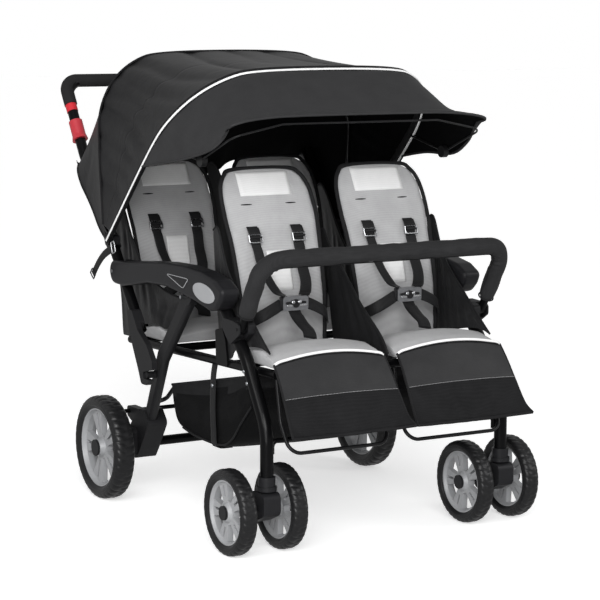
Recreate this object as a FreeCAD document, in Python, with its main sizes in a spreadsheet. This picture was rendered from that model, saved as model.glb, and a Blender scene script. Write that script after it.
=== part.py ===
import FreeCAD, Part
import Sketcher
import math
import os
from FreeCAD import Vector

# Four-seat folding stroller: two rows of two seats on one frame.
# Millimetres. X to the right, Y to the rear, Z up. The children face -Y.
# The origin is on the floor, under the middle of the whole outline.

sizes_table = [
    # whole frame
    ("rear_axle_behind", 219.5, "rear axle line behind the origin"),
    ("rear_axle_height", 120, "rear axle above the floor"),
    ("leg_spread", 295, "front legs, from the middle plane"),
    ("rear_leg_spread", 305, "upper rear legs, from the middle plane"),
    ("rear_foot_spread", 251, "rear legs at the axle, from the middle plane"),
    ("stem_ahead", 657, "caster stems ahead of the rear axle"),
    # tubes
    ("leg_tube_radius", 14, "front leg tube"),
    ("handle_tube_radius", 12.5, "push handle tube"),
    ("rail_tube_radius", 9.5, "seat deck tubes"),
    ("axle_tube_radius", 11, "rear cross tube"),
    ("wire_radius", 4, "footrest and basket wire"),
    ("bow_radius", 4.5, "canopy bows"),
    ("tube_wall", 1.5, "wall of the steel tubes"),
    ("tube_bend", 110, "bend radius of the front legs"),
    ("wire_bend", 28, "bend radius of the wires"),
    # wheels
    ("rear_tyre_radius", 120, "rear tyre, outside"),
    ("rear_tyre_width", 48, "rear tyre across"),
    ("rear_rim_radius", 92, "rear rim, outside"),
    ("rear_wheel_spread", 355.5, "rear wheels, from the middle plane"),
    ("front_tyre_radius", 91.5, "front tyre, outside"),
    ("front_tyre_width", 36, "front tyre across"),
    ("front_rim_radius", 69.5, "front rim, outside"),
    ("twin_half_gap", 60, "front wheels, from their caster stem"),
    ("caster_trail", 47, "front axle behind its stem"),
    ("hub_radius", 17, "wheel hub, outside"),
    ("axle_radius", 5, "stub axles"),
    ("running_gap", 0.06, "radial play of axles and pins"),
    ("rim_wall", 4, "rim barrel wall"),
    ("web_thickness", 14, "spokes along the axle"),
    ("hub_cap_radius", 19, "dark cap over the hub"),
    # armrests and pivots
    ("armrest_inner", 284, "inner face of an armrest"),
    ("armrest_width", 46, "armrest across"),
    ("armrest_round", 9, "rounding of the armrest edges"),
    ("leg_pivot_ahead", 340, "rear leg pivot ahead of the axle"),
    ("leg_pivot_height", 508, "rear leg pivot above the floor"),
    ("handle_pivot_behind", 5, "handle pivot behind the axle"),
    ("handle_pivot_height", 528, "handle pivot above the floor"),
    ("pin_radius", 4, "pivot pins"),
    ("slot_gap", 1.2, "side play in the armrest slots"),
    # rear legs and feet
    ("rear_leg_depth", 38, "rear leg section, front to back"),
    ("rear_leg_thickness", 20, "rear leg section, across"),
    ("knee_height", 357, "bend of the rear leg above the floor"),
        ("foot_thickness", 50, "rear foot moulding, across"),
    # handle
    ("handle_spread", 305, "handle tubes, from the middle plane"),
    ("handle_height", 954, "grip bar above the floor"),
    ("handle_behind", 314, "grip bar behind the axle"),
    ("bend_behind", 205, "bend of the handle tubes behind the axle"),
    ("bend_height", 783, "bend of the handle tubes above the floor"),
    ("handle_bend", 50, "bend radius at the grip corners"),
    ("grip_radius", 15.5, "foam grip, outside"),
    ("catch_behind_leg", 4.5, "fold catch boss behind the middle line of the rear leg"),
    ("catch_height", 310, "fold catch above the floor"),
    ("catch_thickness", 13, "fold catch moulding, across"),
    ("slider_length", 50, "red release slider"),
    ("slider_radius", 19, "red release slider, outside"),
    # seats
    ("seat_spread", 148, "seat middles, from the middle plane"),
    ("seat_width", 266, "seat pad across"),
    ("row_pitch", 478, "front row ahead of the rear row"),
    ("row_drop", 12, "rear row below the front row"),
    ("seat_front_ahead", 663, "front edge of the front pads, ahead of the axle"),
    ("seat_edge_height", 419, "front edge of the front pads above the floor"),
    ("pad_depth", 182.7, "seat pad front to back"),
    ("pad_crown", 21, "knee roll above the front edge"),
    ("back_spread", 145, "seat back middles, from the middle plane"),
    ("back_height", 400, "seat back, bottom to top"),
    ("back_width", 232, "seat back across"),
    ("back_thickness", 26, "seat back padding"),
    ("back_foot_ahead", 480, "front face of the back, at its foot"),
    ("hinge_inset", 12, "hinge tube behind the front face of the back"),
    ("back_lean", 116, "how far the top of the back lies behind its foot"),
    # seat deck
    ("deck_height", 361.6, "deck rails above the floor, at their rear ends"),
    ("deck_spread", 270, "deck rails, from the middle plane"),
    # leg rests and footrests
    ("flap_thickness", 4, "leg rest panel"),
    ("footrest_width", 242, "footrest wire across"),
    ("footrest_ahead", 702, "footrest bar ahead of the axle"),
    ("footrest_height", 221, "footrest bar above the floor"),
    # guard bar
    ("bumper_spread", 303, "guard bar arms, from the middle plane"),
    ("bumper_pivot_ahead", 566, "guard bar pivot ahead of the axle"),
    ("bumper_pivot_height", 465, "guard bar pivot above the floor"),
    ("bumper_ahead", 655, "guard bar ahead of the axle"),
    ("bumper_height", 618, "guard bar above the floor"),
    ("bumper_radius", 9, "guard bar tube"),
    ("bumper_sleeve_radius", 19, "fabric sleeve of the guard bar"),
    ("bumper_bend", 48, "bend radius of the guard bar"),
    # canopy
    ("hub_radius_canopy", 15, "canopy click disc"),
    ("hub_thickness_canopy", 5.4, "canopy click disc"),
    ("canopy_pivot_behind", 25, "canopy pivot behind the axle"),
    ("canopy_pivot_height", 594, "canopy pivot above the floor"),
    ("canopy_spread", 340, "bows at their widest, from the middle plane"),
    ("front_bow_reach", 586, "front bow, pivot to top"),
    ("front_bow_angle", 136, "front bow, degrees from straight back"),
    ("rear_bow_reach", 436, "rear bow, pivot to top"),
    ("rear_bow_angle", 85, "rear bow, degrees from straight back"),
    ("curtain_reach", 266, "rear curtain hem, pivot to hem"),
    ("curtain_angle", 51, "rear curtain hem, degrees from straight back"),
    ("cloth_thickness", 2, "canopy and basket cloth"),
    ("visor_ahead", 557, "visor front edge ahead of the axle"),
    ("visor_height", 905, "visor front edge above the floor"),
    ("visor_corner_height", 877, "visor corners above the floor"),
    ("visor_spread", 324, "visor corners, from the middle plane"),
    ("visor_foot_ahead", 176, "rear lower corner of the visor, ahead of the axle"),
    ("visor_foot_height", 784, "rear lower corner of the visor above the floor"),
    ("knob_ahead", 402, "visor knob ahead of the axle"),
    ("knob_height", 806, "visor knob above the floor"),
    ("knob_radius", 13.5, "visor knob"),
    ("knob_length", 10, "visor knob across"),
    # basket
    ("basket_half_width", 272, "basket side, from the middle plane"),
    # harness
    ("strap_width", 25, "harness webbing"),
    ("strap_thickness", 1.8, "harness webbing"),
    ("buckle_ahead", 511, "buckle ahead of the axle, front row"),
    ("buckle_rise", 84, "buckle above the front edge of the pads"),
    ("buckle_width", 62, "buckle across"),
    ("buckle_length", 30, "buckle, up and down"),
    ("buckle_thickness", 14, "buckle, front to back"),
    ("button_travel", 3, "press of the buckle button"),
    # brake
    ("brake_behind", 55, "brake bar behind the axle"),
    ("brake_height", 187, "brake bar above the floor"),
    ("brake_bar_radius", 5, "brake bar"),
    # shared clearances
    ("soft_gap", 0.3, "cushions and cloth to their neighbours"),
    ("overrun", 5, "how far cutting tools pass through"),
]

doc = FreeCAD.newDocument("stroller")
size = doc.addObject("Spreadsheet::Sheet", "sizes")
for row, (name, value, note) in enumerate(sizes_table, start=1):
    size.set("A%d" % row, name)
    size.set("B%d" % row, str(value))
    size.set("C%d" % row, note)
    size.setAlias("B%d" % row, name)
doc.recompute()

nodes = []


def keep(shape_object, label):
    """Marks an object as one sub-part, under the name of its file."""
    shape_object.Label = label
    nodes.append(shape_object)
    return shape_object


def at(across, ahead, height):
    """A point given ahead of the rear axle and above the floor."""
    return Vector(across, size.rear_axle_behind - ahead, height)


def solid(label, shape):
    """A sub-part whose form is worked out here from the sheet."""
    piece = doc.addObject("Part::Feature", label)
    piece.Shape = shape
    return keep(piece, label)


def pair(label, source):
    """Names the left piece and adds its mirror image on the right."""
    keep(source, label + "_left")
    right = doc.addObject("Part::Mirroring", label + "_right")
    right.Source = source
    right.Normal = Vector(1, 0, 0)
    return keep(right, label + "_right")


def both_sides(shape):
    """One shape and its mirror image, as two solids."""
    return Part.makeCompound([shape, shape.mirror(Vector(0, 0, 0), Vector(1, 0, 0))])


def polar(reach, degrees, across=0.0):
    """A point round the canopy pivot, degrees from straight back."""
    turn = math.radians(degrees)
    back = size.rear_axle_behind + size.canopy_pivot_behind + reach * math.cos(turn)
    return Vector(across, back, size.canopy_pivot_height + reach * math.sin(turn))


rail_rear_ahead = -30


def deck_at(ahead):
    """Height of the rails' middle line, which rises to the front."""
    return size.deck_height + (ahead - rail_rear_ahead) * size.row_drop / size.row_pitch


# Lines, arcs and tubes

tangent_share = 0.47


def rounded(points, bend, closed=False):
    """Straight runs through the points, joined by tangent arcs."""
    count = len(points)
    cuts = []
    for index, corner in enumerate(points):
        if not closed and index in (0, count - 1):
            cuts.append((corner, None, corner))
            continue
        before = points[index - 1] - corner
        after = points[(index + 1) % count] - corner
        shorter = min(before.Length, after.Length)
        half = before.getAngle(after) / 2
        if half > math.radians(89.5):
            cuts.append((corner, None, corner))
            continue
        reach = min(bend / math.tan(half), tangent_share * shorter)
        radius = reach * math.tan(half)
        before.normalize()
        after.normalize()
        middle = (before + after).normalize() * (radius / math.sin(half) - radius)
        cuts.append((corner + before * reach, corner + middle, corner + after * reach))
    edges = []
    pairs = list(zip(cuts, cuts[1:] + cuts[:1])) if closed else list(zip(cuts, cuts[1:]))
    for cut, following in pairs:
        if cut[1] is not None:
            edges.append(Part.Arc(cut[0], cut[1], cut[2]))
        edges.append(Part.LineSegment(cut[2], following[0]))
    return edges


def wire_of(edges):
    return Part.Wire([edge.toShape() for edge in edges])


def tube(points, radius, bend, wall=None):
    """A bent round tube or, without a wall, a bent rod."""
    path = wire_of(rounded(points, bend))
    start = points[1] - points[0]
    outer = path.makePipeShell([Part.Wire(Part.makeCircle(radius, points[0], start))], True, False)
    if wall is None:
        return outer
    bore = path.makePipeShell([Part.Wire(Part.makeCircle(radius - wall, points[0], start))], True, False)
    return outer.cut(bore)


def round_bar(start, end, radius):
    along = end - start
    return Part.makeCylinder(radius, along.Length, start, along)


def slab(outline, first, last):
    """A plate whose outline lies in a plane across X, from first to last."""
    face = Part.Face(wire_of(outline))
    face.translate(Vector(first, 0, 0))
    return face.extrude(Vector(last - first, 0, 0))


def spot(ahead, height):
    return at(0, ahead, height)


# Sketch helpers: the sketch planes are the body's own

def body_plane(body, role):
    for feature in body.Origin.OriginFeatures:
        if feature.Role == role:
            return feature


def sketch_on(body, name, role, offset=None):
    sketch = body.newObject("Sketcher::SketchObject", name)
    sketch.AttachmentSupport = [(body_plane(body, role), "")]
    sketch.MapMode = "FlatFace"
    if offset:
        sketch.setExpression("AttachmentOffset.Base.z", offset)
    return sketch


def bind(sketch, kind, references, value, formula):
    """A dimension of a sketch, tied to the sheet."""
    number = sketch.addConstraint(Sketcher.Constraint(kind, *references, value))
    sketch.setExpression("Constraints[%d]" % number, formula)


def circle(sketch, formula):
    value = float(sketch.evalExpression(formula))
    number = sketch.addGeometry(Part.Circle(Vector(0, 0, 0), Vector(0, 0, 1), value))
    sketch.addConstraint(Sketcher.Constraint("Coincident", number, 3, -1, 1))
    bind(sketch, "Radius", (number,), value, formula)


def outline(sketch, corners):
    """A closed outline whose corners are pairs of formulas, tied to the sheet."""
    places = []
    for across, up in corners:
        places.append(Vector(float(sketch.evalExpression(across)), float(sketch.evalExpression(up)), 0))
    first = None
    for index, place in enumerate(places):
        following = places[(index + 1) % len(places)]
        number = sketch.addGeometry(Part.LineSegment(place, following))
        first = number if first is None else first
        if index:
            sketch.addConstraint(Sketcher.Constraint("Coincident", number - 1, 2, number, 1))
    sketch.addConstraint(Sketcher.Constraint("Coincident", first + len(places) - 1, 2, first, 1))
    for index, (across, up) in enumerate(corners):
        place = places[index]
        if abs(place.x) < 1e-6:
            sketch.addConstraint(Sketcher.Constraint("PointOnObject", first + index, 1, -2))
        else:
            bind(sketch, "DistanceX", (-1, 1, first + index, 1), place.x, across)
        if abs(place.y) < 1e-6:
            sketch.addConstraint(Sketcher.Constraint("PointOnObject", first + index, 1, -1))
        else:
            bind(sketch, "DistanceY", (-1, 1, first + index, 1), place.y, up)


def pad(body, sketch, length, both_ways=False):
    feature = body.newObject("PartDesign::Pad", sketch.Name + "_pad")
    feature.Profile = sketch
    feature.setExpression("Length", length)
    if both_ways:
        feature.Midplane = True
    sketch.Visibility = False
    return feature


def pocket(body, sketch, name):
    feature = body.newObject("PartDesign::Pocket", name)
    feature.Profile = sketch
    feature.Type = "ThroughAll"
    feature.Midplane = True
    return feature


def revolve(body, sketch, name):
    feature = body.newObject("PartDesign::Revolution", name)
    feature.Profile = sketch
    feature.ReferenceAxis = (sketch, ["H_Axis"])
    feature.Angle = 360
    return feature


# Wheels: sketches stand in the XY plane, X along the axle, Y out to the tread

spoke_count = 5
spoke_pitch = 360 / spoke_count
window_half_angle = 19
slot_half_angle_share = 0.13
spoke_root_share = 0.32


def polygon_round(sketch_radius, degrees):
    turn = math.radians(degrees)
    return Vector(sketch_radius * math.cos(turn), sketch_radius * math.sin(turn), 0)


def window(sketch, inner, outer, half_inner, half_outer, middle):
    """An opening between two radii, its ends arcs round the axle."""
    edges = []
    low_left = polygon_round(inner, middle - half_inner)
    high_left = polygon_round(outer, middle - half_outer)
    high_right = polygon_round(outer, middle + half_outer)
    low_right = polygon_round(inner, middle + half_inner)
    edges.append(Part.LineSegment(low_left, high_left))
    edges.append(Part.Arc(high_left, polygon_round(outer, middle), high_right))
    edges.append(Part.LineSegment(high_right, low_right))
    edges.append(Part.Arc(low_right, polygon_round(inner, middle), low_left))
    for edge in edges:
        sketch.addGeometry(edge)


def make_rim(label, rim, tyre_width, place):
    """A spoked rim: barrel, hub and web turned in one, then windows cut through the web."""
    body = doc.addObject("PartDesign::Body", label)
    half = "sizes.%s / 2" % tyre_width
    section = sketch_on(body, label + "_section", "XY_Plane")
    lip_share = "0.36"
    seat = "sizes.%s * %s" % (tyre_width, lip_share)
    outline(section, [
        ("-%s" % seat, "sizes.%s" % rim),
        ("%s" % seat, "sizes.%s" % rim),
        ("%s" % seat, "sizes.%s - sizes.rim_wall" % rim),
        ("sizes.web_thickness / 2", "sizes.%s - sizes.rim_wall * 2" % rim),
        ("sizes.web_thickness / 2", "sizes.hub_radius * 1.3"),
        ("%s - sizes.rim_wall" % half, "sizes.hub_radius"),
        ("%s - sizes.rim_wall" % half, "sizes.axle_radius + sizes.running_gap"),
        ("sizes.rim_wall - %s" % half, "sizes.axle_radius + sizes.running_gap"),
        ("sizes.rim_wall - %s" % half, "sizes.hub_radius"),
        ("-sizes.web_thickness / 2", "sizes.hub_radius * 1.3"),
        ("-sizes.web_thickness / 2", "sizes.%s - sizes.rim_wall * 2" % rim),
        ("-%s" % seat, "sizes.%s - sizes.rim_wall" % rim),
    ])
    revolve(body, section, label + "_turned")
    radius = getattr(size, rim)
    inner = size.hub_radius * 1.3 + size.rim_wall
    outer = radius - size.rim_wall * 2 - size.running_gap
    openings = sketch_on(body, label + "_windows", "YZ_Plane")
    window(openings, inner, outer, window_half_angle * (1 - spoke_root_share), window_half_angle, spoke_pitch / 2)
    slot = window_half_angle * slot_half_angle_share
    window(openings, inner + size.rim_wall * 2, outer - size.rim_wall, slot * 2, slot, 0)
    cut = pocket(body, openings, label + "_window_cut")
    around = body.newObject("PartDesign::PolarPattern", label + "_window_ring")
    around.Originals = [cut]
    around.Axis = (openings, ["N_Axis"])
    around.Angle = 360
    around.Occurrences = spoke_count
    body.Tip = around
    body.Placement = FreeCAD.Placement(place, FreeCAD.Rotation())
    return keep(body, label)


def make_tyre(label, tyre, tyre_width, rim, place):
    """A solid foam tyre with a rounded tread, seated on its rim."""
    body = doc.addObject("PartDesign::Body", label)
    section = sketch_on(body, label + "_section", "XY_Plane")
    shares = ((-0.36, 0), (-0.5, 0.22), (-0.5, 0.62), (-0.38, 0.9), (-0.16, 1), (0.16, 1), (0.38, 0.9),
              (0.5, 0.62), (0.5, 0.22), (0.36, 0))
    corners = []
    for across_share, up_share in shares:
        up = "sizes.%s + (sizes.%s - sizes.%s) * %g" % (rim, tyre, rim, up_share)
        corners.append(("sizes.%s * %g" % (tyre_width, across_share), up))
    outline(section, corners)
    revolve(body, section, label + "_turned")
    body.Placement = FreeCAD.Placement(place, FreeCAD.Rotation())
    return keep(body, label)


for side, word in ((-1, "left"), (1, "right")):
    hub = at(side * size.rear_wheel_spread, 0, size.rear_axle_height)
    make_rim("rear_rim_" + word, "rear_rim_radius", "rear_tyre_width", hub)
    make_tyre("rear_tyre_" + word, "rear_tyre_radius", "rear_tyre_width", "rear_rim_radius", hub)
    for twin, place in ((side, "outer"), (-side, "inner")):
        across = side * size.leg_spread + twin * size.twin_half_gap
        hub = at(across, size.stem_ahead - size.caster_trail, size.front_tyre_radius)
        make_rim("front_rim_%s_%s" % (word, place), "front_rim_radius", "front_tyre_width", hub)
        make_tyre("front_tyre_%s_%s" % (word, place), "front_tyre_radius", "front_tyre_width",
                  "front_rim_radius", hub)

# Casters: a forged block between the twin wheels, its stem up into the leg socket

fork_top = size.front_tyre_radius * 1.5
socket_height = 28
socket_top = fork_top + 4 + socket_height
fork_half_width = 20
stem_radius = 8
socket_radius = size.leg_tube_radius + 4


def make_caster():
    stem_ahead = size.stem_ahead
    axle_ahead = stem_ahead - size.caster_trail
    height = size.front_tyre_radius
    profile = [
        spot(stem_ahead + 24, fork_top),
        spot(stem_ahead - 26, fork_top),
        spot(stem_ahead - 44, fork_top - 16),
        spot(axle_ahead - 22, height + 20),
        spot(axle_ahead - 22, height - 22),
        spot(axle_ahead + 22, height - 22),
        spot(stem_ahead + 24, fork_top - 46),
    ]
    middle = -size.leg_spread
    block = slab(rounded(profile, 15, True), middle - fork_half_width, middle + fork_half_width)
    stem = Part.makeCylinder(stem_radius, socket_height, at(middle, stem_ahead, fork_top))
    hub_end = size.twin_half_gap + size.front_tyre_width / 2
    axle = round_bar(at(middle - hub_end, axle_ahead, height), at(middle + hub_end, axle_ahead, height),
                     size.axle_radius)
    caps = []
    for way in (-1, 1):
        start = at(middle + way * (hub_end - size.rim_wall + 0.5), axle_ahead, height)
        caps.append(round_bar(start, start + Vector(way * 5, 0, 0), size.hub_cap_radius * 0.8))
    return block.fuse([stem, axle] + caps).removeSplitter()


caster = doc.addObject("Part::Feature", "caster_fork_left")
caster.Shape = make_caster()
pair("caster_fork", caster)

# Front legs: one long bend forward, then straight down into the caster socket

leg_top_ahead = size.leg_pivot_ahead + 115
leg_top_height = size.leg_pivot_height + 16


def leg_route(side):
    across = side * size.leg_spread
    return [
        at(across, leg_top_ahead, leg_top_height),
        at(across, size.stem_ahead - 84, 403),
        at(across, size.stem_ahead, 268),
        at(across, size.stem_ahead, socket_top - 14),
    ]


def make_front_leg():
    return tube(leg_route(-1), size.leg_tube_radius, size.tube_bend, size.tube_wall)


def make_front_legs():
    """Both legs with the cross brace welded to their inner sides."""
    brace_radius = 5
    across = size.leg_spread - size.leg_tube_radius - brace_radius * 0.4
    ahead = size.stem_ahead - 6
    route = [at(-across, ahead, 214), at(-across, ahead, 241), at(across, ahead, 241), at(across, ahead, 214)]
    left = make_front_leg()
    right = left.mirror(Vector(0, 0, 0), Vector(1, 0, 0))
    return tube(route, brace_radius, 24).fuse([left, right]).removeSplitter()


solid("front_legs", make_front_legs())


def make_socket():
    foot = at(-size.leg_spread, size.stem_ahead, fork_top + 3)
    shell = Part.makeCylinder(socket_radius, socket_top - fork_top - 3, foot)
    flange = Part.makeCylinder(socket_radius + 3, 9, foot)
    bore = Part.makeCylinder(stem_radius + size.running_gap, socket_height + 1, foot - Vector(0, 0, size.overrun))
    seat = Part.makeCylinder(size.leg_tube_radius, 14 + size.overrun,
                             at(-size.leg_spread, size.stem_ahead, socket_top - 14))
    return shell.fuse(flange).cut(bore).cut(seat).removeSplitter()


solid("caster_sockets", both_sides(make_socket()))

# Armrests: a deep moulding with slots for the rear leg and the handle tube

armrest_outer = size.armrest_inner + size.armrest_width
pivot_behind = -size.handle_pivot_behind
# corners as the share of the way from the handle pivot to the leg pivot, and the rise above that line
armrest_corners = [
    (-0.017, -28.3), (-0.058, -3.2), (-0.029, 24.4), (0.188, 31.8), (0.478, 47.6), (0.774, 61.5),
    (1.029, 68.6), (1.261, 69.2), (1.441, 61.8), (1.551, 44.0), (1.522, 20.4), (1.464, -0.7),
    (1.377, -8.5), (1.168, 1.4), (1.023, 4.5), (0.791, 9.8), (0.507, 1.1), (0.275, -17.5),
    (0.13, -27.4),
]
recess_corners = [(0.803, 37.1), (1.104, 45.1), (1.029, 22.6)]


def over_pivots(share, rise):
    ahead = pivot_behind + (size.leg_pivot_ahead - pivot_behind) * share
    line = size.handle_pivot_height + (size.leg_pivot_height - size.handle_pivot_height) * share
    return spot(ahead, line + rise)


def lower_slot(first, last, ahead, height, reach_front, reach_rear, top):
    """A slot open at the bottom, round a pivot pin."""
    low = height - 60
    profile = [spot(ahead + reach_front, low), spot(ahead + reach_front, top),
               spot(ahead - reach_rear, top), spot(ahead - reach_rear, low)]
    return slab(rounded(profile, 8, True), first, last)


def make_armrest():
    profile = rounded([over_pivots(share, rise) for share, rise in armrest_corners], 30, True)
    block = slab(profile, -armrest_outer, -size.armrest_inner)
    rims = [edge for edge in block.Edges if edge.BoundBox.XLength < size.overrun / 10]
    block = block.makeFillet(size.armrest_round, rims)
    half_leg = size.rear_leg_thickness / 2 + size.slot_gap
    leg_slot = lower_slot(-size.rear_leg_spread - half_leg, -size.rear_leg_spread + half_leg,
                          size.leg_pivot_ahead, size.leg_pivot_height, 24, 50, size.leg_pivot_height + 22)
    half_tube = size.handle_tube_radius + 1
    low, high = size.handle_pivot_height - 48, size.handle_pivot_height + 52
    front, rear = pivot_behind + 45, pivot_behind - 55
    handle_slot = slab(rounded([spot(front, low), spot(front, high), spot(rear, high), spot(rear, low)], 4, True),
                       -size.handle_spread - half_tube, -size.handle_spread + half_tube)
    recess = slab(rounded([over_pivots(share, rise) for share, rise in recess_corners], 6, True),
                  -armrest_outer - size.overrun, -armrest_outer + 5)
    block = block.cut(leg_slot).cut(handle_slot).cut(recess)
    leg_hole = round_bar(at(-size.leg_spread, leg_top_ahead, leg_top_height),
                         at(-size.leg_spread, size.stem_ahead - 84, 403), size.leg_tube_radius)
    block = block.cut(leg_hole)
    for ahead, height in ((size.leg_pivot_ahead, size.leg_pivot_height), (pivot_behind, size.handle_pivot_height)):
        pin = round_bar(at(-armrest_outer, ahead, height), at(-size.armrest_inner, ahead, height), size.pin_radius)
        block = block.cut(pin)
    return block


armrest = doc.addObject("Part::Feature", "armrest_left")
armrest.Shape = make_armrest()
pair("armrest", armrest)


def make_pins():
    pins = []
    for ahead, height in ((size.leg_pivot_ahead, size.leg_pivot_height), (pivot_behind, size.handle_pivot_height)):
        pins.append(round_bar(at(-armrest_outer - 1, ahead, height), at(-size.armrest_inner + 1, ahead, height),
                              size.pin_radius))
    return pins


left_pins = make_pins()
right_pins = [pin.mirror(Vector(0, 0, 0), Vector(1, 0, 0)) for pin in left_pins]
solid("pivot_pins", Part.makeCompound(left_pins + right_pins))

# Rear legs: flat oval section, straight in side view, bent inwards at the knee

catch_pin_radius = 8
leg_slope = (size.leg_pivot_ahead) / (size.leg_pivot_height - size.rear_axle_height)


def leg_line(height):
    """How far ahead of the axle the rear leg's middle line is at a height."""
    return size.leg_pivot_ahead - (size.leg_pivot_height - height) * leg_slope


knee_ahead = leg_line(size.knee_height)
catch_ahead = leg_line(size.catch_height) - size.catch_behind_leg
foot_top_height = size.rear_axle_height + 30
foot_top_ahead = (foot_top_height - size.rear_axle_height) * leg_slope


def leg_section(across, ahead, height, along, depth, thickness):
    """A rounded section of the rear leg, square to its line in side view."""
    along = Vector(along)
    along.normalize()
    forward = along.cross(Vector(1, 0, 0))
    forward.normalize()
    centre = at(across, ahead, height)
    half_depth = depth / 2
    half = thickness / 2
    corners = [
        centre + forward * half_depth + Vector(half, 0, 0),
        centre - forward * half_depth + Vector(half, 0, 0),
        centre - forward * half_depth - Vector(half, 0, 0),
        centre + forward * half_depth - Vector(half, 0, 0),
    ]
    return wire_of(rounded(corners, thickness * 0.4, True))


def make_rear_leg():
    down = at(0, 0, size.rear_axle_height) - at(0, size.leg_pivot_ahead, size.leg_pivot_height)
    lower_share = (size.knee_height - foot_top_height) / (size.knee_height - size.rear_axle_height)
    foot_across = size.rear_leg_spread - (size.rear_leg_spread - size.rear_foot_spread) * lower_share
    sections = [
        leg_section(-size.rear_leg_spread, size.leg_pivot_ahead, size.leg_pivot_height, down,
                    size.rear_leg_depth, size.rear_leg_thickness),
        leg_section(-size.rear_leg_spread, knee_ahead, size.knee_height, down,
                    size.rear_leg_depth, size.rear_leg_thickness),
        leg_section(-foot_across, foot_top_ahead, foot_top_height, down,
                    size.rear_leg_depth * 0.82, size.rear_leg_thickness * 1.2),
    ]
    leg = Part.makeLoft(sections, True, True)
    eye_start = at(-size.rear_leg_spread - size.rear_leg_thickness / 2, size.leg_pivot_ahead, size.leg_pivot_height)
    eye = Part.makeCylinder(size.rear_leg_depth / 2, size.rear_leg_thickness, eye_start, Vector(1, 0, 0))
    hole = Part.makeCylinder(size.pin_radius + size.running_gap, size.rear_leg_thickness + size.overrun * 2,
                             eye_start - Vector(size.overrun, 0, 0), Vector(1, 0, 0))
    stop_end = at(-size.rear_leg_spread - size.rear_leg_thickness / 2 - 12, catch_ahead, size.catch_height)
    boss = Part.makeCylinder(catch_pin_radius, 30, stop_end, Vector(1, 0, 0))
    return leg.fuse(eye).fuse(boss).cut(hole).removeSplitter()


rear_leg = doc.addObject("Part::Feature", "rear_leg_left")
rear_leg.Shape = make_rear_leg()
pair("rear_leg", rear_leg)


def make_rear_foot():
    """Sleeve on the leg's end with a boss out to the wheel."""
    height = size.rear_axle_height
    profile = [spot(84, height + 60), spot(54, height + 94), spot(-6, height + 50), spot(-34, height + 10),
               spot(-28, height - 28), spot(20, height - 32), spot(40, height - 6)]
    middle = -size.rear_foot_spread - 8
    half = size.foot_thickness / 2
    block = slab(rounded(profile, 12, True), middle - half, middle + half)
    wheel_face = -size.rear_wheel_spread + size.rear_tyre_width / 2
    arm_profile = [spot(26, height + 40), spot(-24, height + 40), spot(-24, height - 24), spot(26, height - 24)]
    arm = slab(rounded(arm_profile, 12, True), wheel_face + 8, middle - half + 1)
    boss = round_bar(at(wheel_face + 2, 0, height), at(middle, 0, height), 19)
    axle = round_bar(at(-size.rear_wheel_spread - size.rear_tyre_width / 2 + 1, 0, height), at(middle, 0, height),
                     size.axle_radius)
    cap_start = at(-size.rear_wheel_spread - size.rear_tyre_width / 2 + size.rim_wall - 0.5, 0, height)
    cap = round_bar(cap_start, cap_start - Vector(5, 0, 0), size.hub_cap_radius)
    socket = round_bar(at(middle, 0, height), at(0, 0, height), size.axle_tube_radius)
    bar_hole = round_bar(at(middle - 60, -size.brake_behind, size.brake_height),
                         at(0, -size.brake_behind, size.brake_height), size.brake_bar_radius + 0.3)
    lug = slab(rounded([spot(0, size.brake_height + 12), spot(-size.brake_behind - 12, size.brake_height + 12),
                        spot(-size.brake_behind - 12, size.brake_height - 12), spot(0, size.brake_height - 40)],
                       8, True), middle - 6, middle + 12)
    foot = block.fuse([arm, boss, axle, cap, lug]).cut(socket).cut(bar_hole)
    return foot.cut(make_rear_leg()).removeSplitter()


solid("rear_feet", both_sides(make_rear_foot()))

rear_axle_end = size.rear_foot_spread + 8
rear_axle = doc.addObject("Part::Feature", "rear_axle")
cross_tube = round_bar(at(-rear_axle_end, 0, size.rear_axle_height), at(rear_axle_end, 0, size.rear_axle_height),
                       size.axle_tube_radius)
cross_bore = round_bar(at(-rear_axle_end, 0, size.rear_axle_height), at(rear_axle_end, 0, size.rear_axle_height),
                       size.axle_tube_radius - size.tube_wall)
rear_axle.Shape = cross_tube.cut(cross_bore)
keep(rear_axle, "rear_axle")

# Parking brake: one foot bar across the frame with a lever beside each wheel

def make_brake():
    reach = size.rear_wheel_spread - size.rear_tyre_width / 2 - 3
    behind, height = size.brake_behind, size.brake_height
    bar = round_bar(at(-reach, -behind, height), at(reach, -behind, height), size.brake_bar_radius)
    lever_corners = [spot(-behind + 8, height + 8), spot(-behind - 30, height + 16), spot(-behind - 40, height + 6),
                     spot(-behind - 9, height - 9)]
    levers = []
    for side in (-1, 1):
        faces = sorted((side * (reach - 24), side * (reach - 14)))
        levers.append(slab(rounded(lever_corners, 5, True), faces[0], faces[1]))
    return bar.fuse(levers).removeSplitter()


solid("parking_brake", make_brake())

# Push handle: one tube from catch to catch, bent over the top, with foam on the bar

handle_slope = (size.bend_behind + pivot_behind) / (size.bend_height - size.handle_pivot_height)
lower_end_ahead = catch_ahead - 66
lower_end_height = size.handle_pivot_height - (lower_end_ahead - pivot_behind) / handle_slope


def handle_route(side):
    across = side * size.handle_spread
    return [
        at(across, lower_end_ahead, lower_end_height),
        at(across, -size.bend_behind, size.bend_height),
        at(across, -size.handle_behind, size.handle_height),
    ]


def make_handle():
    left = handle_route(-1)
    right = handle_route(1)
    route = left + right[::-1]
    body = tube(route, size.handle_tube_radius, size.handle_bend, size.tube_wall)
    holes = round_bar(at(-armrest_outer, pivot_behind, size.handle_pivot_height),
                      at(armrest_outer, pivot_behind, size.handle_pivot_height), size.pin_radius + size.running_gap)
    return body.cut(holes)


solid("push_handle", make_handle())


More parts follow.
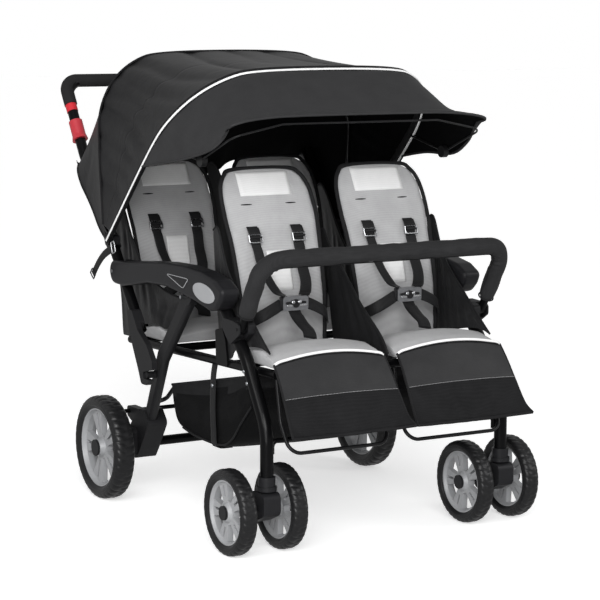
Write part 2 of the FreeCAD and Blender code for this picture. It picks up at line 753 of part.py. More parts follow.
def make_grip():
    """Foam over the bar, both corners and a hand's width of each side."""
    left = handle_route(-1)
    right = handle_route(1)
    top = left[2]
    low = left[1] + (left[2] - left[1]) * 0.67
    other_low = Vector(-low.x, low.y, low.z)
    route = [low, top, right[2], other_low]
    outer = tube(route, size.grip_radius, size.handle_bend)
    core = tube([left[1]] + route[1:3] + [right[1]], size.handle_tube_radius + 0.02, size.handle_bend)
    return outer.cut(core)


solid("handle_grip", make_grip())


def make_slider():
    """Release slider: a finger shell round the tube with a flared lower lip."""
    low = handle_route(-1)[1]
    high = handle_route(-1)[2]
    along = high - low
    along.normalize()
    start = low + along * 40
    shell = Part.makeCylinder(size.slider_radius * 0.86, size.slider_length, start, along)
    lip = Part.makeCone(size.slider_radius, size.slider_radius * 0.86, 12, start, along)
    bore = Part.makeCylinder(size.handle_tube_radius + 0.3, size.slider_length + size.overrun * 2,
                             start - along * size.overrun, along)
    return shell.fuse(lip).cut(bore).removeSplitter()


slider = doc.addObject("Part::Feature", "release_slider_left")
slider.Shape = make_slider()
pair("release_slider", slider)

# Fold catches: mouldings on the handle tube's lower ends, hooked on the rear legs

# corners as the share of the way from the handle's end to the catch boss, and the distance beside that line
catch_corners = [(-0.471, -11.3), (-0.362, -31.0), (0.108, -30.9), (0.547, -49.7), (0.943, -52.0), (1.16, -34.1), (1.213, 5.0), (1.068, 26.8),
                 (0.771, 21.0), (0.226, 13.6)]
sleeve_corners = [(-0.471, -11.3), (-0.362, -31.0), (-0.054, -31.8), (0.074, 1.1), (0.009, 10.7)]


def beside_catch(share, offset):
    way = Vector(catch_ahead - lower_end_ahead, size.catch_height - lower_end_height, 0)
    square = Vector(-way.y, way.x, 0).normalize() * -offset
    return spot(lower_end_ahead + way.x * share + square.x, lower_end_height + way.y * share + square.y)



def make_catch():
    outer = -size.rear_leg_spread - size.rear_leg_thickness / 2 - 3 - size.catch_thickness
    upper_inner = -size.handle_spread - 2
    lower_inner = -size.rear_leg_spread - size.rear_leg_thickness / 2 - 3
    profile = rounded([beside_catch(share, offset) for share, offset in catch_corners], 9, True)
    plate = slab(profile, outer, lower_inner)
    sleeve = slab(rounded([beside_catch(share, offset) for share, offset in sleeve_corners], 6, True),
                  outer, upper_inner)
    low, high = handle_route(-1)[:2]
    core = round_bar(low, high, size.handle_tube_radius + 0.02)
    play = catch_pin_radius + 0.4
    seat = Part.makeCylinder(play, size.catch_thickness * 2,
                             at(outer - size.overrun, catch_ahead, size.catch_height), Vector(1, 0, 0))
    ahead, height = catch_ahead, size.catch_height
    throat = slab(rounded([spot(ahead, height - play), spot(ahead + 60, height - play), spot(ahead + 60, height + 22),
                           spot(ahead + 14, height + play + 3), spot(ahead, height + play)], 1, True),
                  outer - size.overrun, lower_inner + size.overrun)
    return plate.fuse(sleeve).cut(core).cut(seat).cut(throat).removeSplitter()


solid("fold_catches", both_sides(make_catch()))

# Seat deck: two side rails and four cross tubes, carried by plates on the front legs

rail_front_ahead = size.seat_front_ahead - 18
hinge_ahead = size.back_foot_ahead - size.hinge_inset
leg_at_deck_ahead = 589


def make_deck():
    pieces = []
    cross_reach = size.deck_spread - size.rail_tube_radius * 0.5
    cross_ahead = [rail_front_ahead, hinge_ahead, rail_front_ahead - size.row_pitch, hinge_ahead - size.row_pitch]
    for side in (-1, 1):
        start = at(side * size.deck_spread, rail_rear_ahead, deck_at(rail_rear_ahead))
        end = at(side * size.deck_spread, rail_front_ahead + 12, deck_at(rail_front_ahead + 12))
        pieces.append(round_bar(start, end, size.rail_tube_radius))
        height = deck_at(leg_at_deck_ahead)
        pieces.append(round_bar(at(side * size.deck_spread, leg_at_deck_ahead, height),
                                at(side * size.leg_spread, leg_at_deck_ahead, height), size.rail_tube_radius * 0.8))
        plate = [spot(410, 443), spot(442, 450), spot(455, 427), spot(466, 370), spot(414, 368)]
        faces = sorted((side * (size.deck_spread + size.rail_tube_radius - 1), side * (size.armrest_inner - 1)))
        pieces.append(slab(rounded(plate, 6, True), faces[0], faces[1]))
    for ahead in cross_ahead:
        height = deck_at(ahead)
        pieces.append(round_bar(at(-cross_reach, ahead, height), at(cross_reach, ahead, height),
                                size.rail_tube_radius * 0.96))
    frame = pieces[0].fuse(pieces[1:])
    for side in (-1, 1):
        frame = frame.cut(tube(leg_route(side), size.leg_tube_radius, size.tube_bend))
    return frame.removeSplitter()


solid("seat_deck", make_deck())

# Seat pads: crowned over the knees, drawn in at the sides

pad_shares = (
    # depth from the front edge, lift above it, half width, height of the side against the middle
    (0.0, 0.0, 0.5, 0.38),
    (0.10, 0.55, 0.5, 0.60),
    (0.34, 1.0, 0.49, 0.70),
    (0.64, 0.6, 0.48, 0.72),
    (1.0, -0.38, 0.47, 0.72),
)
side_sag_share = 0.35


def pad_section(middle, ahead, base, top, half, side_share):
    """A closed outline across the pad: flat below, drawn-in sides, a crowned top."""
    rise = top - base
    shoulder = base + rise * side_share
    waist = base + (shoulder - base) * side_sag_share
    low_left = at(middle - half + 5, ahead, base)
    left = at(middle - half, ahead, shoulder)
    right = at(middle + half, ahead, shoulder)
    low_right = at(middle + half - 5, ahead, base)
    edges = [
        Part.Arc(low_left, at(middle - half + 1, ahead, waist), left),
        Part.Arc(left, at(middle, ahead, top), right),
        Part.Arc(right, at(middle + half - 1, ahead, waist), low_right),
        Part.LineSegment(low_right, low_left),
    ]
    return wire_of(edges)


def make_pad(side, back, drop):
    sections = []
    for depth, lift, width, side_share in pad_shares:
        ahead = size.seat_front_ahead - back - size.pad_depth * depth
        top = size.seat_edge_height - drop + size.pad_crown * lift
        base = deck_at(ahead) + size.rail_tube_radius + size.soft_gap
        sections.append(pad_section(side * size.seat_spread, ahead, base, top, size.seat_width * width, side_share))
    return Part.makeLoft(sections, True, True)


# Seat backs: leaning panels with a rounded head, hinged round a cross tube

back_foot_height = deck_at(hinge_ahead) + size.rail_tube_radius + size.soft_gap
back_shares = (
    # height, half width, thickness
    (0.0, 0.43, 0.8),
    (0.30, 0.46, 1.0),
    (0.58, 0.48, 1.0),
    (0.74, 0.5, 1.0),
    (0.88, 0.487, 0.95),
    (0.96, 0.42, 0.8),
    (1.0, 0.29, 0.5),
)


def back_front(height):
    """The front face of a front seat back, ahead of the axle, at a height."""
    share = max((height - back_foot_height) / size.back_height, 0)
    return size.back_foot_ahead - size.back_lean * share ** 2


def back_section(middle, height, front_ahead, half, thickness):
    rim = thickness * 0.25
    left = at(middle - half, front_ahead - rim, height)
    right = at(middle + half, front_ahead - rim, height)
    rear_left = at(middle - half + 5, front_ahead - thickness, height)
    rear_right = at(middle + half - 5, front_ahead - thickness, height)
    edges = [
        Part.Arc(left, at(middle, front_ahead, height), right),
        Part.Arc(right, at(middle + half - 1, front_ahead - thickness * 0.7, height), rear_right),
        Part.LineSegment(rear_right, rear_left),
        Part.Arc(rear_left, at(middle - half + 1, front_ahead - thickness * 0.7, height), left),
    ]
    return wire_of(edges)


def make_back(side, back, drop):
    sections = []
    for height_share, width_share, thick_share in back_shares:
        height = back_foot_height + size.back_height * height_share
        sections.append(back_section(side * size.back_spread, height - drop, back_front(height) - back,
                                     size.back_width * width_share, size.back_thickness * thick_share))
    return Part.makeLoft(sections, True, True)


rows = ((0, 0, "front"), (size.row_pitch, size.row_drop, "rear"))
for back, drop, row in rows:
    for side, word in ((-1, "left"), (1, "right")):
        solid("seat_pad_%s_%s" % (row, word), make_pad(side, back, drop))
        solid("seat_back_%s_%s" % (row, word), make_back(side, back, drop))

# Side panels: cloth walls beside the seats and between them

wing_corners = [(638, 419), (604, 430), (550, 425), (481, 411), (478, 385), (420, 383), (392, 655), (412, 672),
                (437, 608), (462, 564), (527, 511), (620, 436)]
rear_wing_corners = [(160, 407), (126, 418), (72, 413), (3, 399), (3, 370.3), (-58, 368.75), (-86, 643), (-66, 660),
                     (-41, 596), (-16, 552), (60, 500), (262, 488), (206, 420)]
divider_corners = [(656, 400), (650, 388.15), (440, 382.85), (378, 640), (392, 648), (406, 620), (483, 554), (552, 489),
                   (632, 438)]
wing_across = 276
panel_thickness = 2


def make_panels():
    panels = []
    for side in (-1, 1):
        faces = sorted((side * wing_across, side * (wing_across + panel_thickness)))
        for corners in (wing_corners, rear_wing_corners):
            outline_points = [spot(ahead, height) for ahead, height in corners]
            panels.append(slab(rounded(outline_points, 10, True), faces[0], faces[1]))
    for back, drop in ((0, 0), (size.row_pitch, size.row_drop)):
        outline_points = [spot(ahead - back, height - drop) for ahead, height in divider_corners]
        panels.append(slab(rounded(outline_points, 6, True), -panel_thickness, panel_thickness))
    return Part.makeCompound(panels)


solid("side_panels", make_panels())

# Leg rests: stiffened cloth flaps below the front pads

flap_lines = (
    # half width, then ahead and height at the ends, and ahead and height in the middle
    (133, 666, 402, 667.5, 419),
    (135, 692, 370, 694.5, 379),
    (138, 720, 328, 722, 331),
    (142, 749, 285, 740, 284),
    (148, 770, 267, 752, 261),
)


def make_flap(side):
    """A cloth panel from the piping to the hem, its lower corners turned forward."""
    middle = side * (size.seat_spread + 2)
    curves = []
    for half, end_ahead, end_height, middle_ahead, middle_height in flap_lines:
        left = at(middle - half, end_ahead, end_height)
        right = at(middle + half, end_ahead, end_height)
        curves.append(Part.Wire([Part.Arc(left, at(middle, middle_ahead, middle_height), right).toShape()]))
    skin = Part.makeLoft(curves, False, False)
    panel = skin.makeOffsetShape(size.flap_thickness, 0.01, fill=True)
    return Part.makeSolid(panel.Shells[0]) if panel.ShapeType != "Solid" else panel


solid("leg_rests", both_sides(make_flap(-1)))


def make_footrest(side):
    middle = side * (size.seat_spread - 4)
    half = size.footrest_width / 2
    top_ahead = rail_front_ahead
    top_height = deck_at(top_ahead) - size.rail_tube_radius
    route = [
        at(middle - half, top_ahead, top_height),
        at(middle - half, size.footrest_ahead - 40, size.footrest_height + 60),
        at(middle - half, size.footrest_ahead, size.footrest_height),
        at(middle + half, size.footrest_ahead, size.footrest_height),
        at(middle + half, size.footrest_ahead - 40, size.footrest_height + 60),
        at(middle + half, top_ahead, top_height),
    ]
    wire = tube(route, size.wire_radius, size.wire_bend)
    crossbar = round_bar(at(-size.deck_spread, top_ahead, deck_at(top_ahead)),
                         at(size.deck_spread, top_ahead, deck_at(top_ahead)), size.rail_tube_radius)
    return wire.cut(crossbar)


solid("footrest_wires", both_sides(make_footrest(-1)))

# Guard bar across the front seats, with its fabric sleeve and leg clamps

def bumper_route():
    low = at(-size.bumper_spread, size.bumper_pivot_ahead, size.bumper_pivot_height)
    corner = at(-size.bumper_spread, size.bumper_ahead, size.bumper_height)
    return low, corner, Vector(-corner.x, corner.y, corner.z), Vector(-low.x, low.y, low.z)


bumper_pin_radius = 3.2
fork_play = 0.5


def make_bumper():
    bar = tube(list(bumper_route()), size.bumper_radius, size.bumper_bend)
    for side in (-1, 1):
        centre = at(side * size.bumper_spread, size.bumper_pivot_ahead, size.bumper_pivot_height)
        reach = Vector(size.bumper_radius, 0, 0)
        bar = bar.fuse(round_bar(centre - reach * 0.95, centre + reach * 0.95, size.bumper_radius * 0.97))
        bar = bar.cut(round_bar(centre - reach * 2, centre + reach * 2, bumper_pin_radius + size.running_gap))
    return bar.removeSplitter()


def make_bumper_sleeve():
    low, corner, other, far = bumper_route()
    start = low + (corner - low) * 0.18
    end = far + (other - far) * 0.18
    outer = tube([start, corner, other, end], size.bumper_sleeve_radius, size.bumper_bend)
    core = tube([low, corner, other, far], size.bumper_radius + 0.02, size.bumper_bend)
    return outer.cut(core)


def make_clamp():
    """A saddle round the leg whose fork holds the guard bar's pin."""
    ahead, height = size.bumper_pivot_ahead, size.bumper_pivot_height
    profile = [spot(ahead + 11, height - 10), spot(ahead + 11, height + 11), spot(ahead - 14, height + 16),
               spot(ahead - 58, height + 18), spot(ahead - 62, height - 4), spot(ahead - 30, height - 36)]
    half = size.bumper_radius + 4
    block = slab(rounded(profile, 7, True), -size.bumper_spread - half, -size.leg_spread + size.leg_tube_radius + 3)
    leg = tube(leg_route(-1), size.leg_tube_radius, size.tube_bend)
    gap = size.bumper_radius + fork_play
    notch = [spot(ahead + 20, height - 20), spot(ahead + 20, height + 40), spot(ahead - 13, height + 40),
             spot(ahead - 13, height - 20)]
    opening = slab(rounded(notch, 6, True), -size.bumper_spread - gap, -size.bumper_spread + gap)
    pin = round_bar(at(-size.bumper_spread - half - 2, ahead, height), at(-size.bumper_spread + half, ahead, height),
                    bumper_pin_radius)
    return block.cut(leg).cut(opening).fuse(pin).removeSplitter()


solid("bumper_bar", make_bumper())
solid("bumper_sleeve", make_bumper_sleeve())
solid("bumper_clamps", both_sides(make_clamp()))

# Canopy: bows turn on hubs at the handle; the cloth is a thin shell over them

arch_shares = (
    # half width and height of a bow's left half, as shares of its spread and reach
    (1.0, 0.60), (0.965, 0.73), (0.87, 0.855), (0.72, 0.945), (0.53, 0.995),
)
bow_inset = 8.7
rear_bow_inset = 9.5
rear_bow_lean = 0.9
bow_bend = 80
front_foot_across = 329
rear_foot_across = 312
bracket_outer = 318
pin_reach = 334.5


def arch_points(point_at, spread, reach, foot, foot_across):
    """Corners of a bow from its left foot over the top to its right foot."""
    points = [point_at(foot, -foot_across)]
    for width_share, height_share in arch_shares:
        points.append(point_at(reach * height_share, -spread * width_share))
    return points + [Vector(-point.x, point.y, point.z) for point in reversed(points)]


def bow_plane(degrees):
    return lambda height, across: polar(height, degrees, across)


def canopy_pin(side, first, last, radius):
    pivot = polar(0, 0)
    return round_bar(Vector(side * first, pivot.y, pivot.z), Vector(side * last, pivot.y, pivot.z), radius)


def make_front_bow():
    """The bow ends in an eye at each side, and two stays run on to the visor knobs."""
    points = arch_points(bow_plane(size.front_bow_angle), size.canopy_spread - bow_inset,
                         size.front_bow_reach - bow_inset, 0, front_foot_across)
    bow = tube(points, size.bow_radius, bow_bend)
    eye = size.bow_radius - 0.2
    for side in (-1, 1):
        bow = bow.fuse(canopy_pin(side, front_foot_across - eye, front_foot_across + eye, 10))
        bow = bow.cut(canopy_pin(side, bracket_outer, pin_reach + size.overrun, size.pin_radius + size.running_gap))
        join = points[1] if side < 0 else points[-2]
        knob = at(side * visor_wire_across, size.knob_ahead, size.knob_height)
        bow = bow.fuse(round_bar(join, knob + (join - knob).normalize() * (size.knob_radius * 0.3), 2.5))
        bow = bow.cut(round_bar(knob - Vector(side * size.knob_length, 0, 0), knob + Vector(side * 12, 0, 0),
                                size.knob_radius + size.soft_gap))
    return bow.removeSplitter()


def make_rear_bow():
    points = arch_points(bow_plane(size.rear_bow_angle + rear_bow_lean), size.canopy_spread - rear_bow_inset,
                         size.rear_bow_reach - rear_bow_inset, 15, rear_foot_across)
    return tube(points, size.bow_radius, bow_bend)


def make_bracket():
    """Clamp on the handle tube with the canopy's pin and the rear bow's seat."""
    pivot = polar(0, 0)
    low, high = handle_route(-1)[:2]
    along = (high - low).normalize()
    share = (size.canopy_pivot_height - low.z) / (high.z - low.z)
    on_tube = low + (high - low) * share
    wrap = Part.makeCylinder(size.handle_tube_radius + 4, 34, on_tube - along * 22, along)
    lug_points = [pivot + Vector(0, -12, -8), pivot + Vector(0, -10, 12), pivot + Vector(0, 6, 16),
                  on_tube + Vector(0, 4, 8), on_tube + Vector(0, -12, -12)]
    for point in lug_points:
        point.x = 0
    lug = slab(rounded(lug_points, 5, True), -bracket_outer, -bracket_outer + 14)
    pin = canopy_pin(-1, bracket_outer - 8, pin_reach, size.pin_radius)
    core = round_bar(low, high, size.handle_tube_radius + 0.02)
    return wrap.fuse([lug, pin]).cut(core).cut(make_rear_bow()).removeSplitter()


def make_hub():
    """A click disc on the canopy's pin."""
    start = bracket_outer + size.soft_gap
    disc = canopy_pin(-1, start, start + size.hub_thickness_canopy, size.hub_radius_canopy)
    return disc.cut(canopy_pin(-1, start - size.overrun, pin_reach, size.pin_radius + size.running_gap))


visor_wire_across = size.visor_spread - 12
solid("canopy_front_bow", make_front_bow())
solid("canopy_rear_bow", make_rear_bow())
solid("canopy_brackets", both_sides(make_bracket()))
solid("canopy_hubs", both_sides(make_hub()))

cover_sections = (
    # angle, reach, spread, as the cloth runs from the curtain hem to the front bow
    (size.curtain_angle, size.curtain_reach, 0.985),
    (size.rear_bow_angle, size.rear_bow_reach, 1.0),
    ((size.rear_bow_angle + size.front_bow_angle) / 2, size.rear_bow_reach * 1.045, 1.0),
    (size.front_bow_angle, size.front_bow_reach, 1.0),
)
cloth_foot = 40
cloth_foot_share = 0.995
end_lap_share = 0.03


def closed_arch(points):
    return wire_of([Part.LineSegment(points[k], points[(k + 1) % len(points)]) for k in range(len(points))])


def cover_solid(inset, lap, foot):
    """Arches under the cloth's face; the lap carries the first and last on in a straight line."""
    arches = []
    for degrees, reach, spread_share in cover_sections:
        spread = size.canopy_spread * spread_share - inset
        arches.append(arch_points(bow_plane(degrees), spread, reach - inset, foot, spread * cloth_foot_share))
    for end, inward in ((0, 1), (-1, -2)):
        arches[end] = [point + (point - near) * lap for point, near in zip(arches[end], arches[inward])]
    return Part.makeLoft([closed_arch(arch) for arch in arches], True, True)


def make_cover():
    outer = cover_solid(0, 0, cloth_foot)
    inner = cover_solid(size.cloth_thickness, end_lap_share, cloth_foot - size.overrun)
    return outer.cut(inner)


solid("canopy_cover", make_cover())

visor_foot = at(0, size.visor_foot_ahead, size.visor_foot_height)
visor_top = polar(size.front_bow_reach, size.front_bow_angle)
visor_corner = at(0, size.visor_ahead, size.visor_corner_height)
visor_front = at(0, size.visor_ahead, size.visor_height)
visor_steps = ((0.0, 0.0), (0.30, 0.17), (0.60, 0.22), (0.82, 0.62), (1.0, 1.0))
visor_arch_shares = ((1.0, 0.235), (0.965, 0.484), (0.87, 0.722), (0.72, 0.895), (0.53, 0.99))
visor_start = 1.2


def visor_solid(inset, lap):
    """Arches from the front bow to the visor's front edge."""
    sections = []
    last = len(visor_steps) - 1
    for index, (along, foot_rise) in enumerate(visor_steps):
        foot = visor_foot + (visor_corner - visor_foot) * along
        foot.z = visor_foot.z + (visor_corner.z - visor_foot.z) * foot_rise
        top = visor_top + (visor_front - visor_top) * along
        shift = Vector(0, (lap if index == 0 else -lap if index == last else 0) - visor_start, 0)
        rise = top - foot
        reach = rise.Length - inset
        rise.normalize()
        spread = size.canopy_spread + (size.visor_spread - size.canopy_spread) * along - inset
        left = [foot + shift + rise * (-size.overrun if inset else 0) + Vector(-spread, 0, 0)]
        for width_share, height_share in visor_arch_shares:
            left.append(foot + shift + rise * (reach * height_share) + Vector(-spread * width_share, 0, 0))
        right = [Vector(-point.x, point.y, point.z) for point in reversed(left)]
        sections.append(closed_arch(left + right))
    return Part.makeLoft(sections, True, True)


def make_visor():
    outer = visor_solid(0, 0)
    inner = visor_solid(size.cloth_thickness, size.overrun)
    return outer.cut(inner)


solid("canopy_visor", make_visor())


def make_visor_hoop():
    """Spring wire round the visor's hem, with a knob at each end."""
    spread = visor_wire_across
    route = [
        at(-spread, size.knob_ahead, size.knob_height),
        at(-spread, size.visor_ahead - 12, size.visor_corner_height - 14),
        at(-spread * 0.62, size.visor_ahead - 9, size.visor_height - 18),
        at(spread * 0.62, size.visor_ahead - 9, size.visor_height - 18),
        at(spread, size.visor_ahead - 12, size.visor_corner_height - 14),
        at(spread, size.knob_ahead, size.knob_height),
    ]
    hoop = tube(route, 2.2, size.wire_bend)
    knobs = []
    for side in (-1, 1):
        centre = at(side * spread, size.knob_ahead, size.knob_height)
        knobs.append(round_bar(centre - Vector(side * size.knob_length, 0, 0), centre + Vector(side * 3, 0, 0),
                               size.knob_radius))
    return hoop.fuse(knobs).removeSplitter()


solid("visor_hoop", make_visor_hoop())

# Basket: a cloth trough under the deck with a cloth band round its top

basket_corners = [(178, 286), (198, 200), (300, 180), (409, 180), (470, 206), (516, 254), (561, 292), (577, 366)]
hanger_corners = [(349, 361.5), (427, 363.5), (406, 306), (398, 306)]


def make_basket():
    half = size.basket_half_width
    points = [spot(ahead, height) for ahead, height in basket_corners]
    outer = slab(rounded(points, 20, True), -half, half)
    inner = outer.makeOffsetShape(-size.cloth_thickness, 0.01, join=2)
    rear, front = basket_corners[0], basket_corners[-1]
    slope = (front[1] - rear[1]) / (front[0] - rear[0])
    mouth = [spot(rear[0] - 20, rear[1] - 20 * slope - 2.2), spot(front[0] + 20, front[1] + 20 * slope - 2.2),
             spot(front[0] + 20, front[1] + 60), spot(rear[0] - 20, front[1] + 60)]
    lid = slab(rounded(mouth, 1, True), -half - size.overrun, half + size.overrun)
    shell = outer.cut(inner).cut(lid)
    hanger = [spot(ahead, height) for ahead, height in hanger_corners]
    left = slab(rounded(hanger, 2, True), -half, -half + size.cloth_thickness)
    right = slab(rounded(hanger, 2, True), half - size.cloth_thickness, half)
    return shell.fuse([left, right]).removeSplitter()


solid("basket", make_basket())


def make_basket_wire():
    """Wire from rear leg to rear leg that holds the basket's rear edge."""
    radius = 5
    hem_ahead = basket_corners[0][0] - radius - size.soft_gap
    spread = 250
    left = [at(-290, 104, 236), at(-spread, 104, 236), at(-spread, 146, 270), at(-spread, hem_ahead, 282)]
    route = left + [Vector(-point.x, point.y, point.z) for point in reversed(left)]
    wire = tube(route, radius, size.wire_bend)
    leg = make_rear_leg()
    wire = wire.cut([leg, leg.mirror(Vector(0, 0, 0), Vector(1, 0, 0))])
    return max(wire.Solids, key=lambda piece: piece.Volume)


solid("basket_wire", make_basket_wire())

# Harness: five-point webbing, a buckle and its press button for each seat

def strap(points, across, width, thickness):
    """Flat webbing along the points, its width along across."""
    across = Vector(across)
    across.normalize()
    sections = []
    for index, point in enumerate(points):
        before = points[max(index - 1, 0)]
        after = points[min(index + 1, len(points) - 1)]
        normal = (after - before).cross(across)
        normal.normalize()
        half = across * (width / 2)
        corners = [point - half, point + half, point + half + normal * thickness, point - half + normal * thickness]
        sections.append(wire_of([Part.LineSegment(corners[k], corners[(k + 1) % 4]) for k in range(4)]))
    return Part.makeLoft(sections, True, True)


slot_spread = 54
slot_height = 658
skin_gap = 0.5
buckle_height = size.seat_edge_height + size.buckle_rise


def seat_harness(side, back, drop):
    middle = side * size.back_spread
    half_height = size.buckle_length / 2
    pieces = []

    def on_back(across, height, lift):
        bow = size.back_thickness * 0.25 * (across / (size.back_width / 2)) ** 2
        return at(middle + across, back_front(height) - bow + skin_gap + lift - back, height - drop)

    for way in (-1, 1):
        shoulder = [
            on_back(way * slot_spread, slot_height, 0),
            on_back(way * (slot_spread - 3), slot_height - 40, 3),
            at(middle + way * 44, size.buckle_ahead - 29 - back, buckle_height + 42 - drop),
            at(middle + way * 24, size.buckle_ahead - back, buckle_height + half_height + skin_gap - drop),
        ]
        pieces.append(strap(shoulder, Vector(1, 0, 0), size.strap_width, size.strap_thickness))
        waist = [
            at(middle + way * (size.buckle_width / 2 + skin_gap), size.buckle_ahead - back,
               buckle_height - drop),
            at(middle + way * 72, size.buckle_ahead - 5 - back, buckle_height - 19 - drop),
            on_back(way * 100, 458, 0),
        ]
        pieces.append(strap(waist, Vector(0, 0.2, 1), size.strap_width, size.strap_thickness))
    crotch = [
        at(middle, size.buckle_ahead + 2 - back, buckle_height - half_height - size.strap_thickness - drop),
        at(middle, size.buckle_ahead + 37 - back, buckle_height - 37 - drop),
        at(middle, size.buckle_ahead + 71 - back, size.seat_edge_height + size.pad_crown + 3.5 - drop),
    ]
    pieces.append(strap(crotch, Vector(1, 0, 0), size.strap_width, size.strap_thickness))
    return pieces


button_radius = 9
button_proud = 2.5
button_seat = 4.5


def buckle_centre(side, back, drop):
    return at(side * size.back_spread, size.buckle_ahead - back, buckle_height - drop)


def make_buckle(side, back, drop):
    centre = buckle_centre(side, back, drop)
    half = Vector(size.buckle_width, size.buckle_thickness, size.buckle_length) * 0.5
    block = Part.makeBox(size.buckle_width, size.buckle_thickness, size.buckle_length, centre - half)
    upright = [edge for edge in block.Edges if edge.BoundBox.YLength > size.buckle_thickness * 0.9]
    block = block.makeFillet(6, upright)
    face = centre - Vector(0, size.buckle_thickness / 2, 0)
    well = Part.makeCylinder(button_radius + size.soft_gap, size.button_travel + button_seat - button_proud + 0.5 + 5,
                             face - Vector(0, 5, 0), Vector(0, 1, 0))
    return block.cut(well)


def make_button(side, back, drop):
    face = buckle_centre(side, back, drop) - Vector(0, size.buckle_thickness / 2, 0)
    return Part.makeCylinder(button_radius, button_seat, face - Vector(0, button_proud, 0), Vector(0, 1, 0))


straps = []
buckles = []
for back, drop, row in rows:
    for side, word in ((-1, "left"), (1, "right")):
        straps += seat_harness(side, back, drop)
        buckles.append(make_buckle(side, back, drop))
        solid("buckle_button_%s_%s" % (row, word), make_button(side, back, drop))
solid("harness_webbing", Part.makeCompound(straps))
solid("harness_buckles", Part.makeCompound(buckles))

# Check everything, then write one file for each sub-part

doc.recompute()
for item in doc.Objects:
    if "Invalid" in item.State or "Error" in item.State:
        raise RuntimeError("%s did not recompute: %s" % (item.Label, item.State))
os.makedirs("parts", exist_ok=True)
whole = FreeCAD.BoundBox()
for item in nodes:
    shape = item.Shape
    if shape.isNull() or not shape.isValid():
        raise RuntimeError("%s has no valid shape" % item.Label)
    whole.add(shape.BoundBox)
    shape.exportStep("parts/%s.step" % item.Label)
print("nodes", len(nodes))
print("whole", [round(v, 1) for v in (whole.XMin, whole.XMax, whole.YMin, whole.YMax, whole.ZMin, whole.ZMax)])
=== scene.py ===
import bpy
import bmesh
import math
import random
from mathutils import Matrix, Quaternion, Vector, noise
from mathutils.bvhtree import BVHTree


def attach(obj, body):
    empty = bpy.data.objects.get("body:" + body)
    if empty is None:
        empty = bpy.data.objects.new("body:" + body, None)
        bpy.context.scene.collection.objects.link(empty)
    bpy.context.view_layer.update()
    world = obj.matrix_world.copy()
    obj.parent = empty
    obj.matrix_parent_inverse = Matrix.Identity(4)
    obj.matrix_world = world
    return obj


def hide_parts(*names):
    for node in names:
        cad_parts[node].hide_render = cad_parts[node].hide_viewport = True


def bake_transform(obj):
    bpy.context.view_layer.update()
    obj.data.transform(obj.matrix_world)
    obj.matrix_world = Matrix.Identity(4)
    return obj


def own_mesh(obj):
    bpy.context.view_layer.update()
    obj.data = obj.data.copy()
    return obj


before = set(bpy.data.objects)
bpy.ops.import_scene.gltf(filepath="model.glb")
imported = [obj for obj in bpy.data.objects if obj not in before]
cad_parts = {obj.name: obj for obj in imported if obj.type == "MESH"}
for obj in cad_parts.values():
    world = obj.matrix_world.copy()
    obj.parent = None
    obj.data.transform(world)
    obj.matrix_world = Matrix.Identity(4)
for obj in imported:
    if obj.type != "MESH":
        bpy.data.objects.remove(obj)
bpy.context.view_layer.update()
scene = bpy.context.scene
print("stage: frame loaded with", len(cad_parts), "nodes")

axleBehind = 219.5  # rear axle line behind the origin, mm


def at(across, ahead, up):
    # a place in metres, from mm across, ahead of the rear axle and above the floor
    return Vector((across, axleBehind - ahead, up)) / 1000


# Camera and studio

cameraSizes = {"place": (-2.3845, -4.1411, 1.118), "look": (0.5006, 0.8551, -0.1354), "roll": -0.11,
               "lens": 126.31, "sensor": 36.0}
studioSizes = {"ambient": 0.58, "ambientAbove": 0.20, "keyStrength": 1.35, "keyAngle": 30,
               "keyFrom": (-0.46, -1.0, 0.62), "lampsAimUp": 0.5, "lampHigh": 1.8, "floorHalf": 30, "floorLift": 0.5,
               "mirrored": 0.5}
# name, place, power, width
softboxes = (("leftSoftbox", (-2.6, -1.6, 1.9), 30, 1.2), ("lowSoftbox", (-1.7, -2.3, 0.75), 34, 1.2),
             ("rightSoftbox", (2.4, -2.2, 1.7), 20, 0.9))


def addNode(tree, kind, settings=None, links=None):
    # one shader node, its settings by input name or attribute, and what feeds its inputs
    node = tree.nodes.new("ShaderNode" + kind)
    for key, value in (settings or {}).items():
        if isinstance(key, int) or key in node.inputs:
            node.inputs[key].default_value = value
        else:
            setattr(node, key, value)
    for key, source in (links or {}).items():
        tree.links.new(source, node.inputs[key])
    return node


def emptyTree(owner):
    owner.use_nodes = True
    owner.node_tree.nodes.clear()
    return owner.node_tree


def hexColour(text):
    parts = [int(text[k:k + 2], 16) / 255 for k in (1, 3, 5)]
    return [p / 12.92 if p <= 0.04045 else ((p + 0.055) / 1.055) ** 2.4 for p in parts] + [1.0]


def makeCamera():
    data = bpy.data.cameras.new("photoCamera")
    camera = bpy.data.objects.new("photoCamera", data)
    scene.collection.objects.link(camera)
    data.lens = cameraSizes["lens"]
    data.sensor_width = cameraSizes["sensor"]
    data.clip_end = 100
    camera.location = cameraSizes["place"]
    look = Vector(cameraSizes["look"])
    camera.rotation_mode = "QUATERNION"
    turn = Quaternion(look, math.radians(cameraSizes["roll"]))
    camera.rotation_quaternion = turn @ look.to_track_quat("-Z", "Y")
    scene.camera = camera


def placeLamp(lamp, place, away):
    # away points from what is lit to the lamp
    thing = bpy.data.objects.new(lamp.name, lamp)
    thing.location = place
    thing.rotation_euler = away.to_track_quat("Z", "Y").to_euler()
    scene.collection.objects.link(thing)


